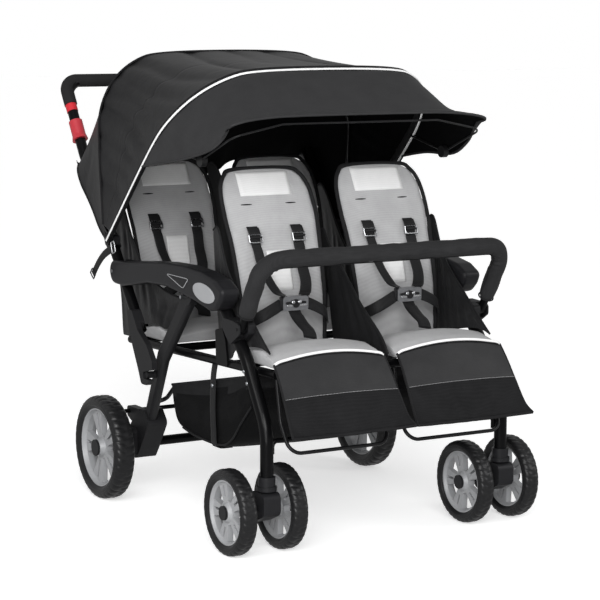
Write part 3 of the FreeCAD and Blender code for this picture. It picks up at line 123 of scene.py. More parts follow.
def makeStudio():
    world = bpy.data.worlds.new("studio")
    scene.world = world
    tree = emptyTree(world)
    path = addNode(tree, "LightPath")
    seen = addNode(tree, "Math", {"operation": "MAXIMUM"},
                   {0: path.outputs["Is Camera Ray"], 1: path.outputs["Is Transmission Ray"]})
    way = addNode(tree, "SeparateXYZ", {}, {0: addNode(tree, "TexCoord").outputs["Generated"]})
    lower = addNode(tree, "MapRange", {"From Min": 0.1, "To Min": studioSizes["ambient"],
                                       "To Max": studioSizes["ambientAbove"]}, {"Value": way.outputs["Z"]})
    shiny = addNode(tree, "MapRange", {"To Max": studioSizes["mirrored"]},
                    {"Value": path.outputs["Is Glossy Ray"], "To Min": lower.outputs["Result"]})
    strength = addNode(tree, "MapRange", {"To Max": 1.0},
                       {"Value": seen.outputs[0], "To Min": shiny.outputs["Result"]})
    back = addNode(tree, "Background", {"Color": (1, 1, 1, 1)}, {"Strength": strength.outputs["Result"]})
    addNode(tree, "OutputWorld", {}, {"Surface": back.outputs[0]})

    key = bpy.data.lights.new("keySun", "SUN")
    key.energy = studioSizes["keyStrength"]
    key.angle = math.radians(studioSizes["keyAngle"])
    placeLamp(key, (0, 0, 0), Vector(studioSizes["keyFrom"]))
    for name, place, power, width in softboxes:
        lamp = bpy.data.lights.new(name, "AREA")
        lamp.shape = "RECTANGLE"
        lamp.size = width
        lamp.size_y = studioSizes["lampHigh"]
        lamp.energy = power
        placeLamp(lamp, place, Vector(place) - Vector((0, 0, studioSizes["lampsAimUp"])))

    half = studioSizes["floorHalf"]
    floorMesh = bpy.data.meshes.new("floor")
    corners = [(-half, -half, 0), (half, -half, 0), (half, half, 0), (-half, half, 0)]
    floorMesh.from_pydata(corners, [], [(0, 1, 2, 3)])
    floor = bpy.data.objects.new("floor", floorMesh)
    scene.collection.objects.link(floor)
    paper = bpy.data.materials.new("paperFloor")  # matt white backdrop paper
    tree = emptyTree(paper)
    path = addNode(tree, "LightPath")
    matt = addNode(tree, "BsdfDiffuse", {"Color": hexColour("#f4f4f4")})
    glow = addNode(tree, "Emission", {"Strength": studioSizes["floorLift"]})
    lifted = addNode(tree, "AddShader", {}, {0: matt.outputs[0], 1: glow.outputs[0]})
    white = addNode(tree, "Emission", {"Strength": studioSizes["mirrored"]})
    shown = addNode(tree, "MixShader", {},
                    {0: path.outputs["Is Camera Ray"], 1: matt.outputs[0], 2: lifted.outputs[0]})
    shine = addNode(tree, "MixShader", {},
                    {0: path.outputs["Is Glossy Ray"], 1: shown.outputs[0], 2: white.outputs[0]})
    addNode(tree, "OutputMaterial", {}, {"Surface": shine.outputs[0]})
    floorMesh.materials.append(paper)


makeCamera()
makeStudio()
print("stage: camera and studio")

# Materials


def newMaterial(name):
    material = bpy.data.materials.new(name)
    tree = emptyTree(material)
    where = addNode(tree, "TexCoord").outputs["Object"]
    return material, tree, where


def closeMaterial(material, tree, settings, links):
    skin = addNode(tree, "BsdfPrincipled", settings, links)
    addNode(tree, "OutputMaterial", {}, {"Surface": skin.outputs[0]})
    return material


def moulding(name, deep, light, roughness, grainMm, grainHeight, coat=0.0, mottleMm=60, specular=0.5):
    # plastic, rubber or paint: a slow drift between two shades, a fine grain, duller and brighter patches
    material, tree, where = newMaterial(name)
    drift = addNode(tree, "TexNoise", {"Scale": 1000 / mottleMm, "Detail": 4.0, "Roughness": 0.6}, {"Vector": where})
    shade = addNode(tree, "Mix", {"data_type": "RGBA", 6: hexColour(deep), 7: hexColour(light)},
                    {0: drift.outputs[0]})
    grain = addNode(tree, "TexNoise", {"Scale": 1000 / grainMm, "Detail": 2.0}, {"Vector": where})
    bump = addNode(tree, "Bump", {"Strength": 0.35, "Distance": grainHeight / 1000}, {"Height": grain.outputs[0]})
    dull = addNode(tree, "MapRange", {"To Min": roughness - 0.05, "To Max": roughness + 0.09},
                   {"Value": drift.outputs[0]})
    return closeMaterial(material, tree, {"IOR": 1.5, "Coat Weight": coat, "Coat Roughness": 0.12,
                                          "Specular IOR Level": specular},
                         {"Base Color": shade.outputs[2], "Roughness": dull.outputs[0], "Normal": bump.outputs[0]})


def woven(name, deep, light, threadMm, threadHeight, sheen, roughness=0.8, creaseMm=0, creaseHeight=0.0,
          mottleMm=45, specular=0.3):
    # cloth: warp and weft as crossing waves on all three axes, slubs, soft creases
    material, tree, where = newMaterial(name)
    waves = []
    for axis in ("X", "Y", "Z"):
        waves.append(addNode(tree, "TexWave", {"wave_type": "BANDS", "bands_direction": axis,
                                               "Scale": 1000 / threadMm / 6.28, "Distortion": 1.2, "Detail": 1.0,
                                               "Detail Scale": 2.0}, {"Vector": where}).outputs[1])
    pair = addNode(tree, "Math", {"operation": "MULTIPLY"}, {0: waves[0], 1: waves[2]})
    weave = addNode(tree, "Math", {"operation": "ADD"}, {0: pair.outputs[0], 1: waves[1]})
    drift = addNode(tree, "TexNoise", {"Scale": 1000 / mottleMm, "Detail": 5.0, "Roughness": 0.65}, {"Vector": where})
    tone = addNode(tree, "Math", {"operation": "MULTIPLY_ADD", 1: 0.22}, {0: weave.outputs[0], 2: drift.outputs[0]})
    level = addNode(tree, "MapRange", {"From Min": 0.3, "From Max": 1.0}, {"Value": tone.outputs[0]})
    shade = addNode(tree, "Mix", {"data_type": "RGBA", 6: hexColour(deep), 7: hexColour(light)},
                    {0: level.outputs[0]})
    bump = addNode(tree, "Bump", {"Strength": 0.5, "Distance": threadHeight / 1000}, {"Height": weave.outputs[0]})
    if creaseMm:
        crease = addNode(tree, "TexNoise", {"Scale": 1000 / creaseMm, "Detail": 3.0, "Distortion": 0.8},
                         {"Vector": where})
        bump = addNode(tree, "Bump", {"Strength": 0.6, "Distance": creaseHeight / 1000},
                       {"Height": crease.outputs[0], "Normal": bump.outputs[0]})
    return closeMaterial(material, tree, {"IOR": 1.5, "Roughness": roughness, "Sheen Weight": sheen,
                                          "Sheen Roughness": 0.45, "Specular IOR Level": specular},
                         {"Base Color": shade.outputs[2], "Normal": bump.outputs[0]})


def plated(name, deep, light, roughness):
    # zinc-plated steel, tumbled: a pale metal with a faint cloudiness
    material, tree, where = newMaterial(name)
    cloud = addNode(tree, "TexNoise", {"Scale": 180.0, "Detail": 5.0}, {"Vector": where})
    shade = addNode(tree, "Mix", {"data_type": "RGBA", 6: hexColour(deep), 7: hexColour(light)},
                    {0: cloud.outputs[0]})
    dull = addNode(tree, "MapRange", {"To Min": roughness - 0.06, "To Max": roughness + 0.1},
                   {"Value": cloud.outputs[0]})
    return closeMaterial(material, tree, {"Metallic": 1.0},
                         {"Base Color": shade.outputs[2], "Roughness": dull.outputs[0]})


finishes = {
    # powder-coated steel tube: deep black, a glossy skin with a slight orange peel
    "blackPowderCoat": moulding("blackPowderCoat", "#060607", "#0b0b0c", 0.28, 2.2, 0.05, coat=0.10, specular=0.07),
    # glass-filled nylon, moulded: charcoal, satin, fine spark-eroded grain
    "charcoalNylonMoulding": moulding("charcoalNylonMoulding", "#18181a", "#202022", 0.40, 1.4, 0.06, coat=0.04,
                                      specular=0.15),
    # the same nylon on legs and catches, matter and darker
    "darkNylonMoulding": moulding("darkNylonMoulding", "#18181a", "#212122", 0.45, 1.4, 0.08, specular=0.16),
    # ABS, moulded, light grey satin rim
    "greyAbsRim": moulding("greyAbsRim", "#8a8b8d", "#9c9d9f", 0.34, 1.6, 0.04, mottleMm=90, specular=0.4),
    # EVA foam tyre, moulded with a smooth skin: black, satin, scuffed on the tread
    "evaFoamTyre": moulding("evaFoamTyre", "#131314", "#202021", 0.36, 1.8, 0.10, coat=0.10, mottleMm=25, specular=0.2),
    # nitrile foam grip, skived: matt black with fine pores
    "nitrileFoamGrip": moulding("nitrileFoamGrip", "#1c1c1d", "#262627", 0.82, 1.1, 0.25, specular=0.15),
    # acetal slider, moulded: clear red satin
    "redAcetalSlider": moulding("redAcetalSlider", "#a9242f", "#b8323d", 0.38, 1.6, 0.04),
    # spring wire with a dipped black coat
    "dippedBlackWire": moulding("dippedBlackWire", "#101011", "#1a1a1b", 0.3, 2.0, 0.05, specular=0.2),
    # zinc-plated steel pins and rivets
    "zincSteel": plated("zincSteel", "#8d8f92", "#b9bbbe", 0.32),
    # the buckle's plate: zinc, tumbled to a soft satin
    "satinZincPlate": plated("satinZincPlate", "#77787b", "#9c9da0", 0.42),
    # plated zinc die-cast buckle frames
    "silverDieCast": plated("silverDieCast", "#9a9b9e", "#cfd0d2", 0.25),
    # 600 denier polyester canvas: near black, dry, threads drawn at 1.6 mm so that they show
    "blackCanvas": woven("blackCanvas", "#161617", "#202021", 1.6, 0.18, 0.01, creaseMm=40, creaseHeight=1.2,
                         specular=0.08),
    # nylon taffeta of the hood: charcoal with a low satin gleam, soft creases
    "hoodTaffeta": woven("hoodTaffeta", "#1a1a1b", "#232324", 1.2, 0.06, 0.0, 0.44, creaseMm=48, creaseHeight=2.4,
                         specular=0.16),
    # the visor's and leg rests' lighter taffeta
    "visorTaffeta": woven("visorTaffeta", "#29292a", "#323233", 1.2, 0.05, 0.0, 0.58, creaseMm=70, creaseHeight=1.2,
                          specular=0.14),
    # black lining of the hood and visor, darkened past the other black cloths: its own black plus painted shade for the
    # inside of the hood
    "shadedHoodLining": woven("shadedHoodLining", "#070708", "#0d0d0e", 1.2, 0.05, 0.0, 0.8, creaseMm=50, creaseHeight=0.8,
                        specular=0.05),
    # satin-faced polyester of the leg rests' upper half: black, smooth, with a soft broad gleam
    "legRestSatin": woven("legRestSatin", "#232324", "#2e2e2f", 0.9, 0.03, 0.02, 0.46, creaseMm=60, creaseHeight=0.5,
                          specular=0.16),
    # polyester sewing thread, light grey
    "greyThread": moulding("greyThread", "#8a8a8b", "#9c9c9d", 0.7, 0.8, 0.05, specular=0.2),
    # brushed polyester sleeve over foam: matt black, slightly fuzzy
    "sleeveFabric": woven("sleeveFabric", "#222223", "#2d2d2e", 1.2, 0.10, 0.03, 0.85, creaseMm=18, creaseHeight=0.9,
                          specular=0.08),
    # satin lining of the seat wings: black with a gleam
    "wingSatin": woven("wingSatin", "#171718", "#222223", 1.0, 0.05, 0.03, 0.42, creaseMm=24, creaseHeight=2.0,
                       specular=0.2),
    # brushed polyester over wadding: light grey seat cloth
    "greySeatCloth": woven("greySeatCloth", "#989899", "#ababac", 1.0, 0.02, 0.06, 0.85, creaseMm=35, creaseHeight=0.8,
                           specular=0.15),
    # cotton tape of the plain sewn-on patches
    "whiteTape": woven("whiteTape", "#cccccc", "#dadada", 1.2, 0.06, 0.05, 0.75, specular=0.2),
    # glossy coated piping cord
    "whitePiping": moulding("whitePiping", "#e2e2e2", "#efefef", 0.4, 1.5, 0.05),
    # badge plate: moulded ABS, painted a plain satin grey
    "badgeAbs": moulding("badgeAbs", "#8d8e90", "#9b9c9e", 0.36, 1.6, 0.03, specular=0.3),
    # red printed polyester tape
    "redPrintedTape": moulding("redPrintedTape", "#b8202b", "#c62a35", 0.45, 1.6, 0.03, specular=0.3),
    # polyester bias tape, woven rib
    "blackBinding": woven("blackBinding", "#151516", "#1f1f20", 1.3, 0.15, 0.02, 0.7, specular=0.1),
    # polyester webbing, ribbed at 1.5 mm
    "blackWebbing": woven("blackWebbing", "#141415", "#202021", 1.5, 0.30, 0.03, 0.55, specular=0.14),
}


def netting(name, thread, litThread, gapShade, cellMm):
    # knitted polyester net: black threads round hexagonal gaps, drawn at cellMm so that they show; the gaps are not
    # open but painted near black, the painted shade seen through the net
    material, tree, where = newMaterial(name)
    cells = addNode(tree, "TexVoronoi", {"feature": "DISTANCE_TO_EDGE", "Scale": 1000 / cellMm, "Randomness": 0.25},
                    {"Vector": where})
    hole = addNode(tree, "MapRange", {"From Min": 0.10, "From Max": 0.22}, {"Value": cells.outputs["Distance"]})
    drift = addNode(tree, "TexNoise", {"Scale": 22.0, "Detail": 3.0}, {"Vector": where})
    lit = addNode(tree, "Mix", {"data_type": "RGBA", 6: hexColour(thread), 7: hexColour(litThread)},
                  {0: drift.outputs[0]})
    # near-black gap colour: painted shade standing in for the dark inside seen through the holes
    shade = addNode(tree, "Mix", {"data_type": "RGBA", 7: hexColour(gapShade)},
                    {0: hole.outputs["Result"], 6: lit.outputs[2]})
    bump = addNode(tree, "Bump", {"Strength": 0.7, "Distance": 0.0006, "invert": True},
                   {"Height": cells.outputs["Distance"]})
    return closeMaterial(material, tree, {"IOR": 1.5, "Roughness": 0.75, "Specular IOR Level": 0.10},
                         {"Base Color": shade.outputs[2], "Normal": bump.outputs[0]})


# knitted net of the basket, with painted shade in its gaps
finishes["basketNet"] = netting("basketNet", "#0c0c0d", "#111112", "#040405", 4.0)
print("stage: materials", len(finishes))


crispDegrees = 35  # edges of the frame pieces sharper than this stay crisp
nodeFinish = {
    "blackPowderCoat": ["front_legs", "push_handle", "seat_deck", "rear_axle", "parking_brake", "bumper_bar"],
    "charcoalNylonMoulding": ["armrest_left", "armrest_right", "caster_sockets", "caster_fork_left",
                              "caster_fork_right", "canopy_brackets", "canopy_hubs"],
    "darkNylonMoulding": ["rear_leg_left", "rear_leg_right", "rear_feet", "fold_catches", "bumper_clamps",
                          "buckle_button_front_left", "buckle_button_front_right", "buckle_button_rear_left",
                          "buckle_button_rear_right"],
    "greyAbsRim": ["rear_rim_left", "rear_rim_right", "front_rim_left_outer", "front_rim_left_inner",
                   "front_rim_right_outer", "front_rim_right_inner"],
    "nitrileFoamGrip": ["handle_grip"],
    "redAcetalSlider": ["release_slider_left", "release_slider_right"],
    "dippedBlackWire": ["footrest_wires", "basket_wire", "canopy_front_bow", "canopy_rear_bow", "visor_hoop"],
    "zincSteel": ["pivot_pins"],
    "satinZincPlate": ["harness_buckles"],
}
for finish, names in nodeFinish.items():
    for name in names:
        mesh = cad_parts[name].data
        mesh.materials.clear()
        mesh.materials.append(finishes[finish])
        mesh.polygons.foreach_set("use_smooth", [True] * len(mesh.polygons))
        mesh.set_sharp_from_angle(angle=math.radians(crispDegrees))
print("stage: frame pieces finished")

# Shapes that the pieces share


def curveThrough(points, count, closed=False):
    # a smooth line through every point, evenly counted between them
    line = []
    total = len(points) if closed else len(points) - 1
    for step in range(count):
        place = step / (count if closed else count - 1) * total
        index = min(int(place), total - 1)
        t = place - index
        around = []
        for offset in (-1, 0, 1, 2):
            near = index + offset
            near = near % len(points) if closed else max(0, min(near, len(points) - 1))
            around.append(points[near])
        a, b, c, d = around
        line.append(0.5 * (2 * b + (c - a) * t + (2 * a - 5 * b + 4 * c - d) * t * t
                           + (3 * b - a - 3 * c + d) * t ** 3))
    return line


def curveInside(points, count):
    # a quadratic B-spline: it ends on the end points and rounds every corner between them
    corners = [points[0]] + list(points) + [points[-1]]
    spans = len(points)
    line = []
    for step in range(count):
        place = step / (count - 1) * spans
        index = min(int(place), spans - 1)
        t = place - index
        a, b, c = corners[index:index + 3]
        start = a if index == 0 else (a + b) / 2
        end = c if index == spans - 1 else (b + c) / 2
        line.append(start * (1 - t) ** 2 + b * 2 * t * (1 - t) + end * t * t)
    return line


def mirrored(points):
    return points + [Vector((-p.x, p.y, p.z)) for p in reversed(points)]


def moved(line, shift):
    return [p + shift for p in line]


def turns(sides):
    # evenly spaced directions round a circle, as cosine and sine
    return [(math.cos(2 * math.pi * k / sides), math.sin(2 * math.pi * k / sides)) for k in range(sides)]


def ring(radiusMm, sides, flat=1.0):
    # a round or flattened outline for sweeping, in metres
    return [(c * radiusMm / 1000, s * radiusMm * flat / 1000) for c, s in turns(sides)]


def tape(widthMm, thickMm):
    # the outline of webbing: a flat bar with rolled edges
    half, thick = widthMm / 2000, thickMm / 2000
    edge = thick * 0.9
    spots = (-half + edge, -half * 0.4, half * 0.4, half - edge)
    return [(-half, 0)] + [(x, -thick) for x in spots] + [(half, 0)] + [(x, thick) for x in reversed(spots)]


def newPiece(name, points, faces, finish, body=None):
    mesh = bpy.data.meshes.new(name)
    mesh.from_pydata([tuple(p) for p in points], [], faces)
    mesh.update()
    thing = bpy.data.objects.new(name, mesh)
    scene.collection.objects.link(thing)
    for one in ([finish] if isinstance(finish, str) else finish):
        mesh.materials.append(finishes[one])
    mesh.polygons.foreach_set("use_smooth", [True] * len(mesh.polygons))
    if body:
        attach(thing, body)
    return thing


def gridFaces(rows, columns, wrapColumns=False, wrapRows=False):
    faces = []
    for r in range(rows if wrapRows else rows - 1):
        for c in range(columns if wrapColumns else columns - 1):
            nextRow, nextColumn = (r + 1) % rows, (c + 1) % columns
            faces.append((r * columns + c, r * columns + nextColumn, nextRow * columns + nextColumn,
                          nextRow * columns + c))
    return faces


def sweepRings(line, outline, side=None, cyclic=False, scaleAt=None):
    # rings of points where the outline is carried along the line; side keeps its first axis facing one way
    rings = []
    facing = None
    for index, point in enumerate(line):
        before = line[index - 1] if index or cyclic else point
        after = line[(index + 1) % len(line)] if index < len(line) - 1 or cyclic else point
        along = (after - before).normalized()
        want = side
        if want is None:
            want = facing or (Vector((0, 0, 1)) if abs(along.z) < 0.9 else Vector((1, 0, 0)))
        facing = (want - along * want.dot(along)).normalized()
        up = along.cross(facing)
        size = scaleAt(index / (len(line) - 1)) if scaleAt else 1.0
        rings.append([point + facing * x * size + up * y * size for x, y in outline])
    return rings


def sweptPiece(name, line, outline, finish, body=None, side=None, cyclic=False, scaleAt=None):
    rings = sweepRings(line, outline, side, cyclic, scaleAt)
    sides = len(outline)
    points = [p for one in rings for p in one]
    faces = gridFaces(len(rings), sides, True, cyclic)
    if not cyclic:
        faces += [tuple(reversed(range(sides))), tuple(range(len(points) - sides, len(points)))]
    thing = newPiece(name, points, faces, finish, body)
    thing.data.set_sharp_from_angle(angle=math.radians(50))
    return thing


def ringStack(name, place, steps, sides, outward, across, finish, body=None, capped=False):
    # round rings, one on the other: the radius of each and how far it stands out, mm
    upward = Vector((0, 0, 1))
    points = [place + (outward * lift + (across * c + upward * s) * radius) / 1000
              for radius, lift in steps for c, s in turns(sides)]
    faces = gridFaces(len(steps), sides, True)
    if capped:
        faces.append(tuple(range(len(points) - sides, len(points))))
    return newPiece(name, points, faces, finish, body)


def joinPieces(name, things, body=None):
    # several meshes as one piece
    bpy.ops.object.select_all(action="DESELECT")
    for one in things:
        one.select_set(True)
    bpy.context.view_layer.objects.active = things[0]
    bpy.ops.object.join()
    whole = things[0]
    whole.name = name
    whole.data.name = name
    if body:
        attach(whole, body)
    return whole


def smoothed(thing):
    smooth = thing.modifiers.new("smooth", "SUBSURF")
    smooth.levels = 1
    smooth.render_levels = 1


def sheetPiece(name, rows, finish, body=None, thickMm=1.2, levels=1):
    # a cloth from rows of points, with a thickness and a subdivision
    points = [p for row in rows for p in row]
    thing = newPiece(name, points, gridFaces(len(rows), len(rows[0])), finish, body)
    if levels:
        smoothed(thing)
    solid = thing.modifiers.new("thickness", "SOLIDIFY")
    solid.thickness = thickMm / 1000
    solid.offset = 0
    return thing


def boxPiece(name, centre, half, finish, roundMm):
    # a small block with bevelled edges, half its sizes given in mm
    mesh = bpy.data.meshes.new(name)
    shape = bmesh.new()
    bmesh.ops.create_cube(shape, size=2.0)
    for vertex in shape.verts:
        vertex.co = Vector((vertex.co.x * half[0], vertex.co.y * half[1], vertex.co.z * half[2])) / 1000
    bmesh.ops.bevel(shape, geom=list(shape.edges), offset=roundMm / 1000, segments=3, affect="EDGES", profile=0.6)
    shape.transform(Matrix.Translation(centre))
    shape.to_mesh(mesh)
    shape.free()
    mesh.materials.append(finishes[finish])
    mesh.polygons.foreach_set("use_smooth", [True] * len(mesh.polygons))
    thing = bpy.data.objects.new(name, mesh)
    scene.collection.objects.link(thing)
    return thing

# Seats: a padded base and a padded back each, blown up by cloth simulation between their seams

seatSizes = {
    "voxel": 5.0, "shrink": 3.2, "pressure": 4.2, "steps": 20, "backCap": 8.0, "padCap": 9.0,
    "backMiddle": 145, "padMiddle": 148, "rowPitch": 478, "rowDrop": 12,
    "backFoot": 383.9, "backHeight": 400, "backLean": 116, "backFootAhead": 480, "backWidth": 232,
    "sideSeam": 79, "strapSeam": 660, "quiltSeams": (612, 560, 505, 450), "slotHeight": 707, "slotAcross": 55,
    "bindingRadius": 4.8, "bindingInset": 3.0, "boundDepth": 13, "underside": -0.75, "seamReach": 3.2,
    "patchHeights": (725, 775), "patchHalf": 64, "lowPatchHeights": (524, 610), "lowPatchHalf": 28,
    "patchSteps": (13, 9), "patchLift": 0.8, "slotHalf": 13,
}
seatRows = (("front", 0, 0), ("rear", seatSizes["rowPitch"], seatSizes["rowDrop"]))
sides = (("left", -1), ("right", 1))
backShares = ((0.0, 0.43), (0.30, 0.46), (0.58, 0.48), (0.74, 0.5), (0.88, 0.487), (0.96, 0.42), (1.0, 0.29))


def backFront(up):
    # how far ahead of the rear axle the front face of a front seat back lies
    share = max((up - seatSizes["backFoot"]) / seatSizes["backHeight"], 0)
    return seatSizes["backFootAhead"] - seatSizes["backLean"] * share ** 2


def evaluatedMesh(thing):
    graph = bpy.context.evaluated_depsgraph_get()
    graph.update()
    return bpy.data.meshes.new_from_object(thing.evaluated_get(graph))


def puffed(node, label, isHeld, capMm):
    # the node's shape remeshed a little smaller, then blown up with its seams held
    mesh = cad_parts[node].data.copy()
    thing = bpy.data.objects.new(label, mesh)
    scene.collection.objects.link(thing)
    remesh = thing.modifiers.new("remesh", "REMESH")
    remesh.mode = "VOXEL"
    remesh.voxel_size = seatSizes["voxel"] / 1000
    thing.data = evaluatedMesh(thing)
    thing.modifiers.clear()
    mesh = thing.data
    start = []
    for vertex in mesh.vertices:
        start.append(vertex.co - vertex.normal * seatSizes["shrink"] / 1000)
    normals = [vertex.normal.copy() for vertex in mesh.vertices]
    for vertex, place in zip(mesh.vertices, start):
        vertex.co = place
    held = [k for k, place in enumerate(start) if isHeld(place, normals[k])]
    group = thing.vertex_groups.new(name="seams")
    group.add(held, 1.0, "REPLACE")
    cloth = thing.modifiers.new("cloth", "CLOTH")
    cloth.settings.quality = 5
    cloth.settings.mass = 0.15
    cloth.settings.tension_stiffness = 12
    cloth.settings.compression_stiffness = 12
    cloth.settings.shear_stiffness = 5
    cloth.settings.bending_stiffness = 0.3
    cloth.settings.use_pressure = True
    cloth.settings.uniform_pressure_force = seatSizes["pressure"]
    cloth.settings.effector_weights.gravity = 0
    cloth.settings.vertex_group_mass = "seams"
    cloth.collision_settings.use_collision = False
    cloth.point_cache.frame_start = 1
    cloth.point_cache.frame_end = seatSizes["steps"]
    for step in range(1, seatSizes["steps"] + 1):
        scene.frame_set(step)
    blown = evaluatedMesh(thing)
    thing.modifiers.clear()
    cap = capMm / 1000
    for k, vertex in enumerate(mesh.vertices):
        move = blown.vertices[k].co - start[k]
        if move.length > cap:
            move *= cap / move.length
        vertex.co = start[k] + move
    mesh.update()
    scene.frame_set(1)
    return thing


def backHeld(place, normal):
    across = place.x * 1000 + seatSizes["backMiddle"]
    up = place.z * 1000
    if abs(normal.y) < 0.4:
        return True  # the bound edge all round
    seam = min(abs(abs(across) - seatSizes["sideSeam"]), abs(up - seatSizes["strapSeam"]))
    if up < seatSizes["strapSeam"]:
        seam = min([seam, abs(abs(across) - 27)] + [abs(up - height) * 1.6 for height in seatSizes["quiltSeams"]])
    return seam < seatSizes["seamReach"]


def padHeld(place, normal):
    depth = axleBehind - place.y * 1000
    if normal.z < -0.6 or depth > 656:
        return True  # the flat underside and the piped front edge
    across = abs(place.x * 1000 + seatSizes["padMiddle"])
    return abs(depth - 575) < 3 or (depth < 575 and min(abs(across - 45), abs(across - 100)) < 3)


def backIsGrey(face):
    # the back is grey ahead of its bound edge
    place = face.center
    return axleBehind - place.y * 1000 > backFront(place.z * 1000) - seatSizes["boundDepth"]


def padIsGrey(face):
    # the base is grey but for its underside
    return face.normal.z > seatSizes["underside"]


def paintPad(thing, isGrey):
    # grey cloth where a child leans or sits, black canvas behind and below
    mesh = thing.data
    mesh.materials.clear()
    for finish in ("greySeatCloth", "blackCanvas"):
        mesh.materials.append(finishes[finish])
    mesh.polygons.foreach_set("material_index", [0 if isGrey(f) else 1 for f in mesh.polygons])
    mesh.polygons.foreach_set("use_smooth", [True] * len(mesh.polygons))
    smoothed(thing)


def placedCopy(source, label, shift):
    mesh = source.data.copy()
    mesh.transform(Matrix.Translation(shift))
    thing = bpy.data.objects.new(label, mesh)
    scene.collection.objects.link(thing)
    for one in source.modifiers:
        if one.type == "SUBSURF":
            smoothed(thing)
        elif one.type == "SOLIDIFY":
            thing.modifiers.new("thickness", "SOLIDIFY").thickness = one.thickness
    return thing


def seatShift(side, middleKey, behind, drop):
    # from the front left seat to another
    return Vector((0 if side < 0 else 2 * seatSizes[middleKey] / 1000, behind / 1000, -drop / 1000))


backMaster = puffed("seat_back_front_left", "backMaster", backHeld, seatSizes["backCap"])
padMaster = puffed("seat_pad_front_left", "padMaster", padHeld, seatSizes["padCap"])
print("stage: seat cushions blown up", len(backMaster.data.vertices), len(padMaster.data.vertices))
paintPad(backMaster, backIsGrey)
paintPad(padMaster, padIsGrey)
backTree = BVHTree.FromObject(backMaster, bpy.context.evaluated_depsgraph_get())
padTree = BVHTree.FromObject(padMaster, bpy.context.evaluated_depsgraph_get())


def onBack(across, up, liftMm=0.0):
    # a place on the master back's face: across from the seat's middle, mm
    start = Vector((-(seatSizes["backMiddle"] - across) / 1000, -0.9, up / 1000))
    hit = backTree.ray_cast(start, Vector((0, 1, 0)))[0]
    if hit is None:
        hit = at(across - seatSizes["backMiddle"], backFront(up), up)
    return hit - Vector((0, liftMm / 1000, 0))


def onPad(across, ahead, liftMm=0.0):
    start = at(across - seatSizes["padMiddle"], ahead, 900)
    hit = padTree.ray_cast(start, Vector((0, 0, -1)))[0]
    if hit is None:
        hit = at(across - seatSizes["padMiddle"], ahead, 420)
    return hit + Vector((0, 0, liftMm / 1000))


def backOutline():
    # the bound edge of the back, up one side, over the top and down the other
    line = []
    for heightShare, widthShare in backShares:
        up = seatSizes["backFoot"] + seatSizes["backHeight"] * heightShare
        inset = seatSizes["bindingInset"]
        line.append(at(inset - seatSizes["backWidth"] * widthShare - seatSizes["backMiddle"], backFront(up) - 5, up))
    line[-1].z -= seatSizes["bindingInset"] / 1000
    otherSide = [Vector((-2 * seatSizes["backMiddle"] / 1000 - p.x, p.y, p.z)) for p in reversed(line)]
    return curveThrough(line + otherSide, 90)


def patch(label, acrossHalf, low, high):
    # a plain piece of cloth sewn to the back, which it follows
    columns, rows = seatSizes["patchSteps"]
    grid = []
    for r in range(rows):
        up = low + (high - low) * r / (rows - 1)
        grid.append([onBack(-acrossHalf + 2 * acrossHalf * c / (columns - 1), up, seatSizes["patchLift"])
                     for c in range(columns)])
    return sheetPiece(label, grid, "whiteTape", thickMm=0.8, levels=0)


def backTrim():
    # what is sewn to a seat back: edge binding, plain patches and the empty strap slots, each slot a dark tapered cord
    # that paints the shade inside the open slit
    parts = [sweptPiece("binding", backOutline(), ring(seatSizes["bindingRadius"], 8, 0.8), "blackBinding")]
    parts.append(patch("patch", seatSizes["patchHalf"], *seatSizes["patchHeights"]))
    parts.append(patch("lowPatch", seatSizes["lowPatchHalf"], *seatSizes["lowPatchHeights"]))
    half = seatSizes["slotHalf"]
    # dark cords on the cloth: painted shade of the open strap slots
    for way in (-1, 1):
        line = [onBack(way * seatSizes["slotAcross"] - half + k * half / 5, seatSizes["slotHeight"], 0.4)
                for k in range(11)]
        parts.append(sweptPiece("slot", line, ring(1.6, 6), "blackBinding",
                                scaleAt=lambda t: 0.4 + 0.6 * math.sin(math.pi * t)))
    return parts


trimMaster = backTrim()
for rowName, behind, drop in seatRows:
    for sideName, side in sides:
        shift = seatShift(side, "backMiddle", behind, drop)
        back = placedCopy(backMaster, "seatBack_%s_%s" % (rowName, sideName), shift)
        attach(back, "back_%s_%s" % (rowName, sideName))
        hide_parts("seat_back_%s_%s" % (rowName, sideName))
        for index, part in enumerate(trimMaster):
            trim = placedCopy(part, "backTrim_%s_%s_%d" % (rowName, sideName, index), shift)
            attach(trim, "back_%s_%s" % (rowName, sideName))
        pad = placedCopy(padMaster, "seatPad_%s_%s" % (rowName, sideName), seatShift(side, "padMiddle", behind, drop))
        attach(pad, "front_frame")
        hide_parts("seat_pad_%s_%s" % (rowName, sideName))
for one in trimMaster + [backMaster, padMaster]:
    bpy.data.objects.remove(one)
print("stage: seats")
# Hood: cloth stretched over two bows, a curtain behind, a visor ahead

hoodSizes = {
    "pivotAhead": -25, "pivotUp": 594, "spread": 341.5, "rearReach": 437, "rearAngle": 85.0,
    "frontReach": 587.5, "frontAngle": 136.0, "footReach": 40, "footShare": 0.995,
    "arch": ((1.0, 0.60), (0.965, 0.73), (0.87, 0.855), (0.72, 0.945), (0.53, 0.995)),
    "hem": ((300, -59, 575), (317, -90, 607), (319, -136, 668), (321, -200, 722), (320, -216, 764), (288, -215, 764),
            (240, -214, 762), (150, -214, 762), (84, -213, 758), (52, -212, 726)),
    "columns": 141, "panelSag": 7, "curtainSag": 5, "clothMm": 1.4, "cordMm": 3.0, "casingMm": 8.2,
}
visorSizes = {
    "foot": (176, 784), "corner": (557, 877), "front": (557, 905), "spread": 324,
    "steps": ((0.0, 0.0, 0.0), (0.30, 0.15, 0.17), (0.60, 0.36, 0.20), (0.80, 0.55, 0.52), (0.93, 0.78, 0.86),
              (1.0, 1.0, 1.0)),
    "arch": ((1.0, 0.235), (0.965, 0.484), (0.87, 0.722), (0.72, 0.895), (0.53, 0.99)),
    "rows": 25, "columns": 91, "cornerBack": 30, "roundShare": 0.35, "clothMm": 1.6, "hemMm": 11,
}


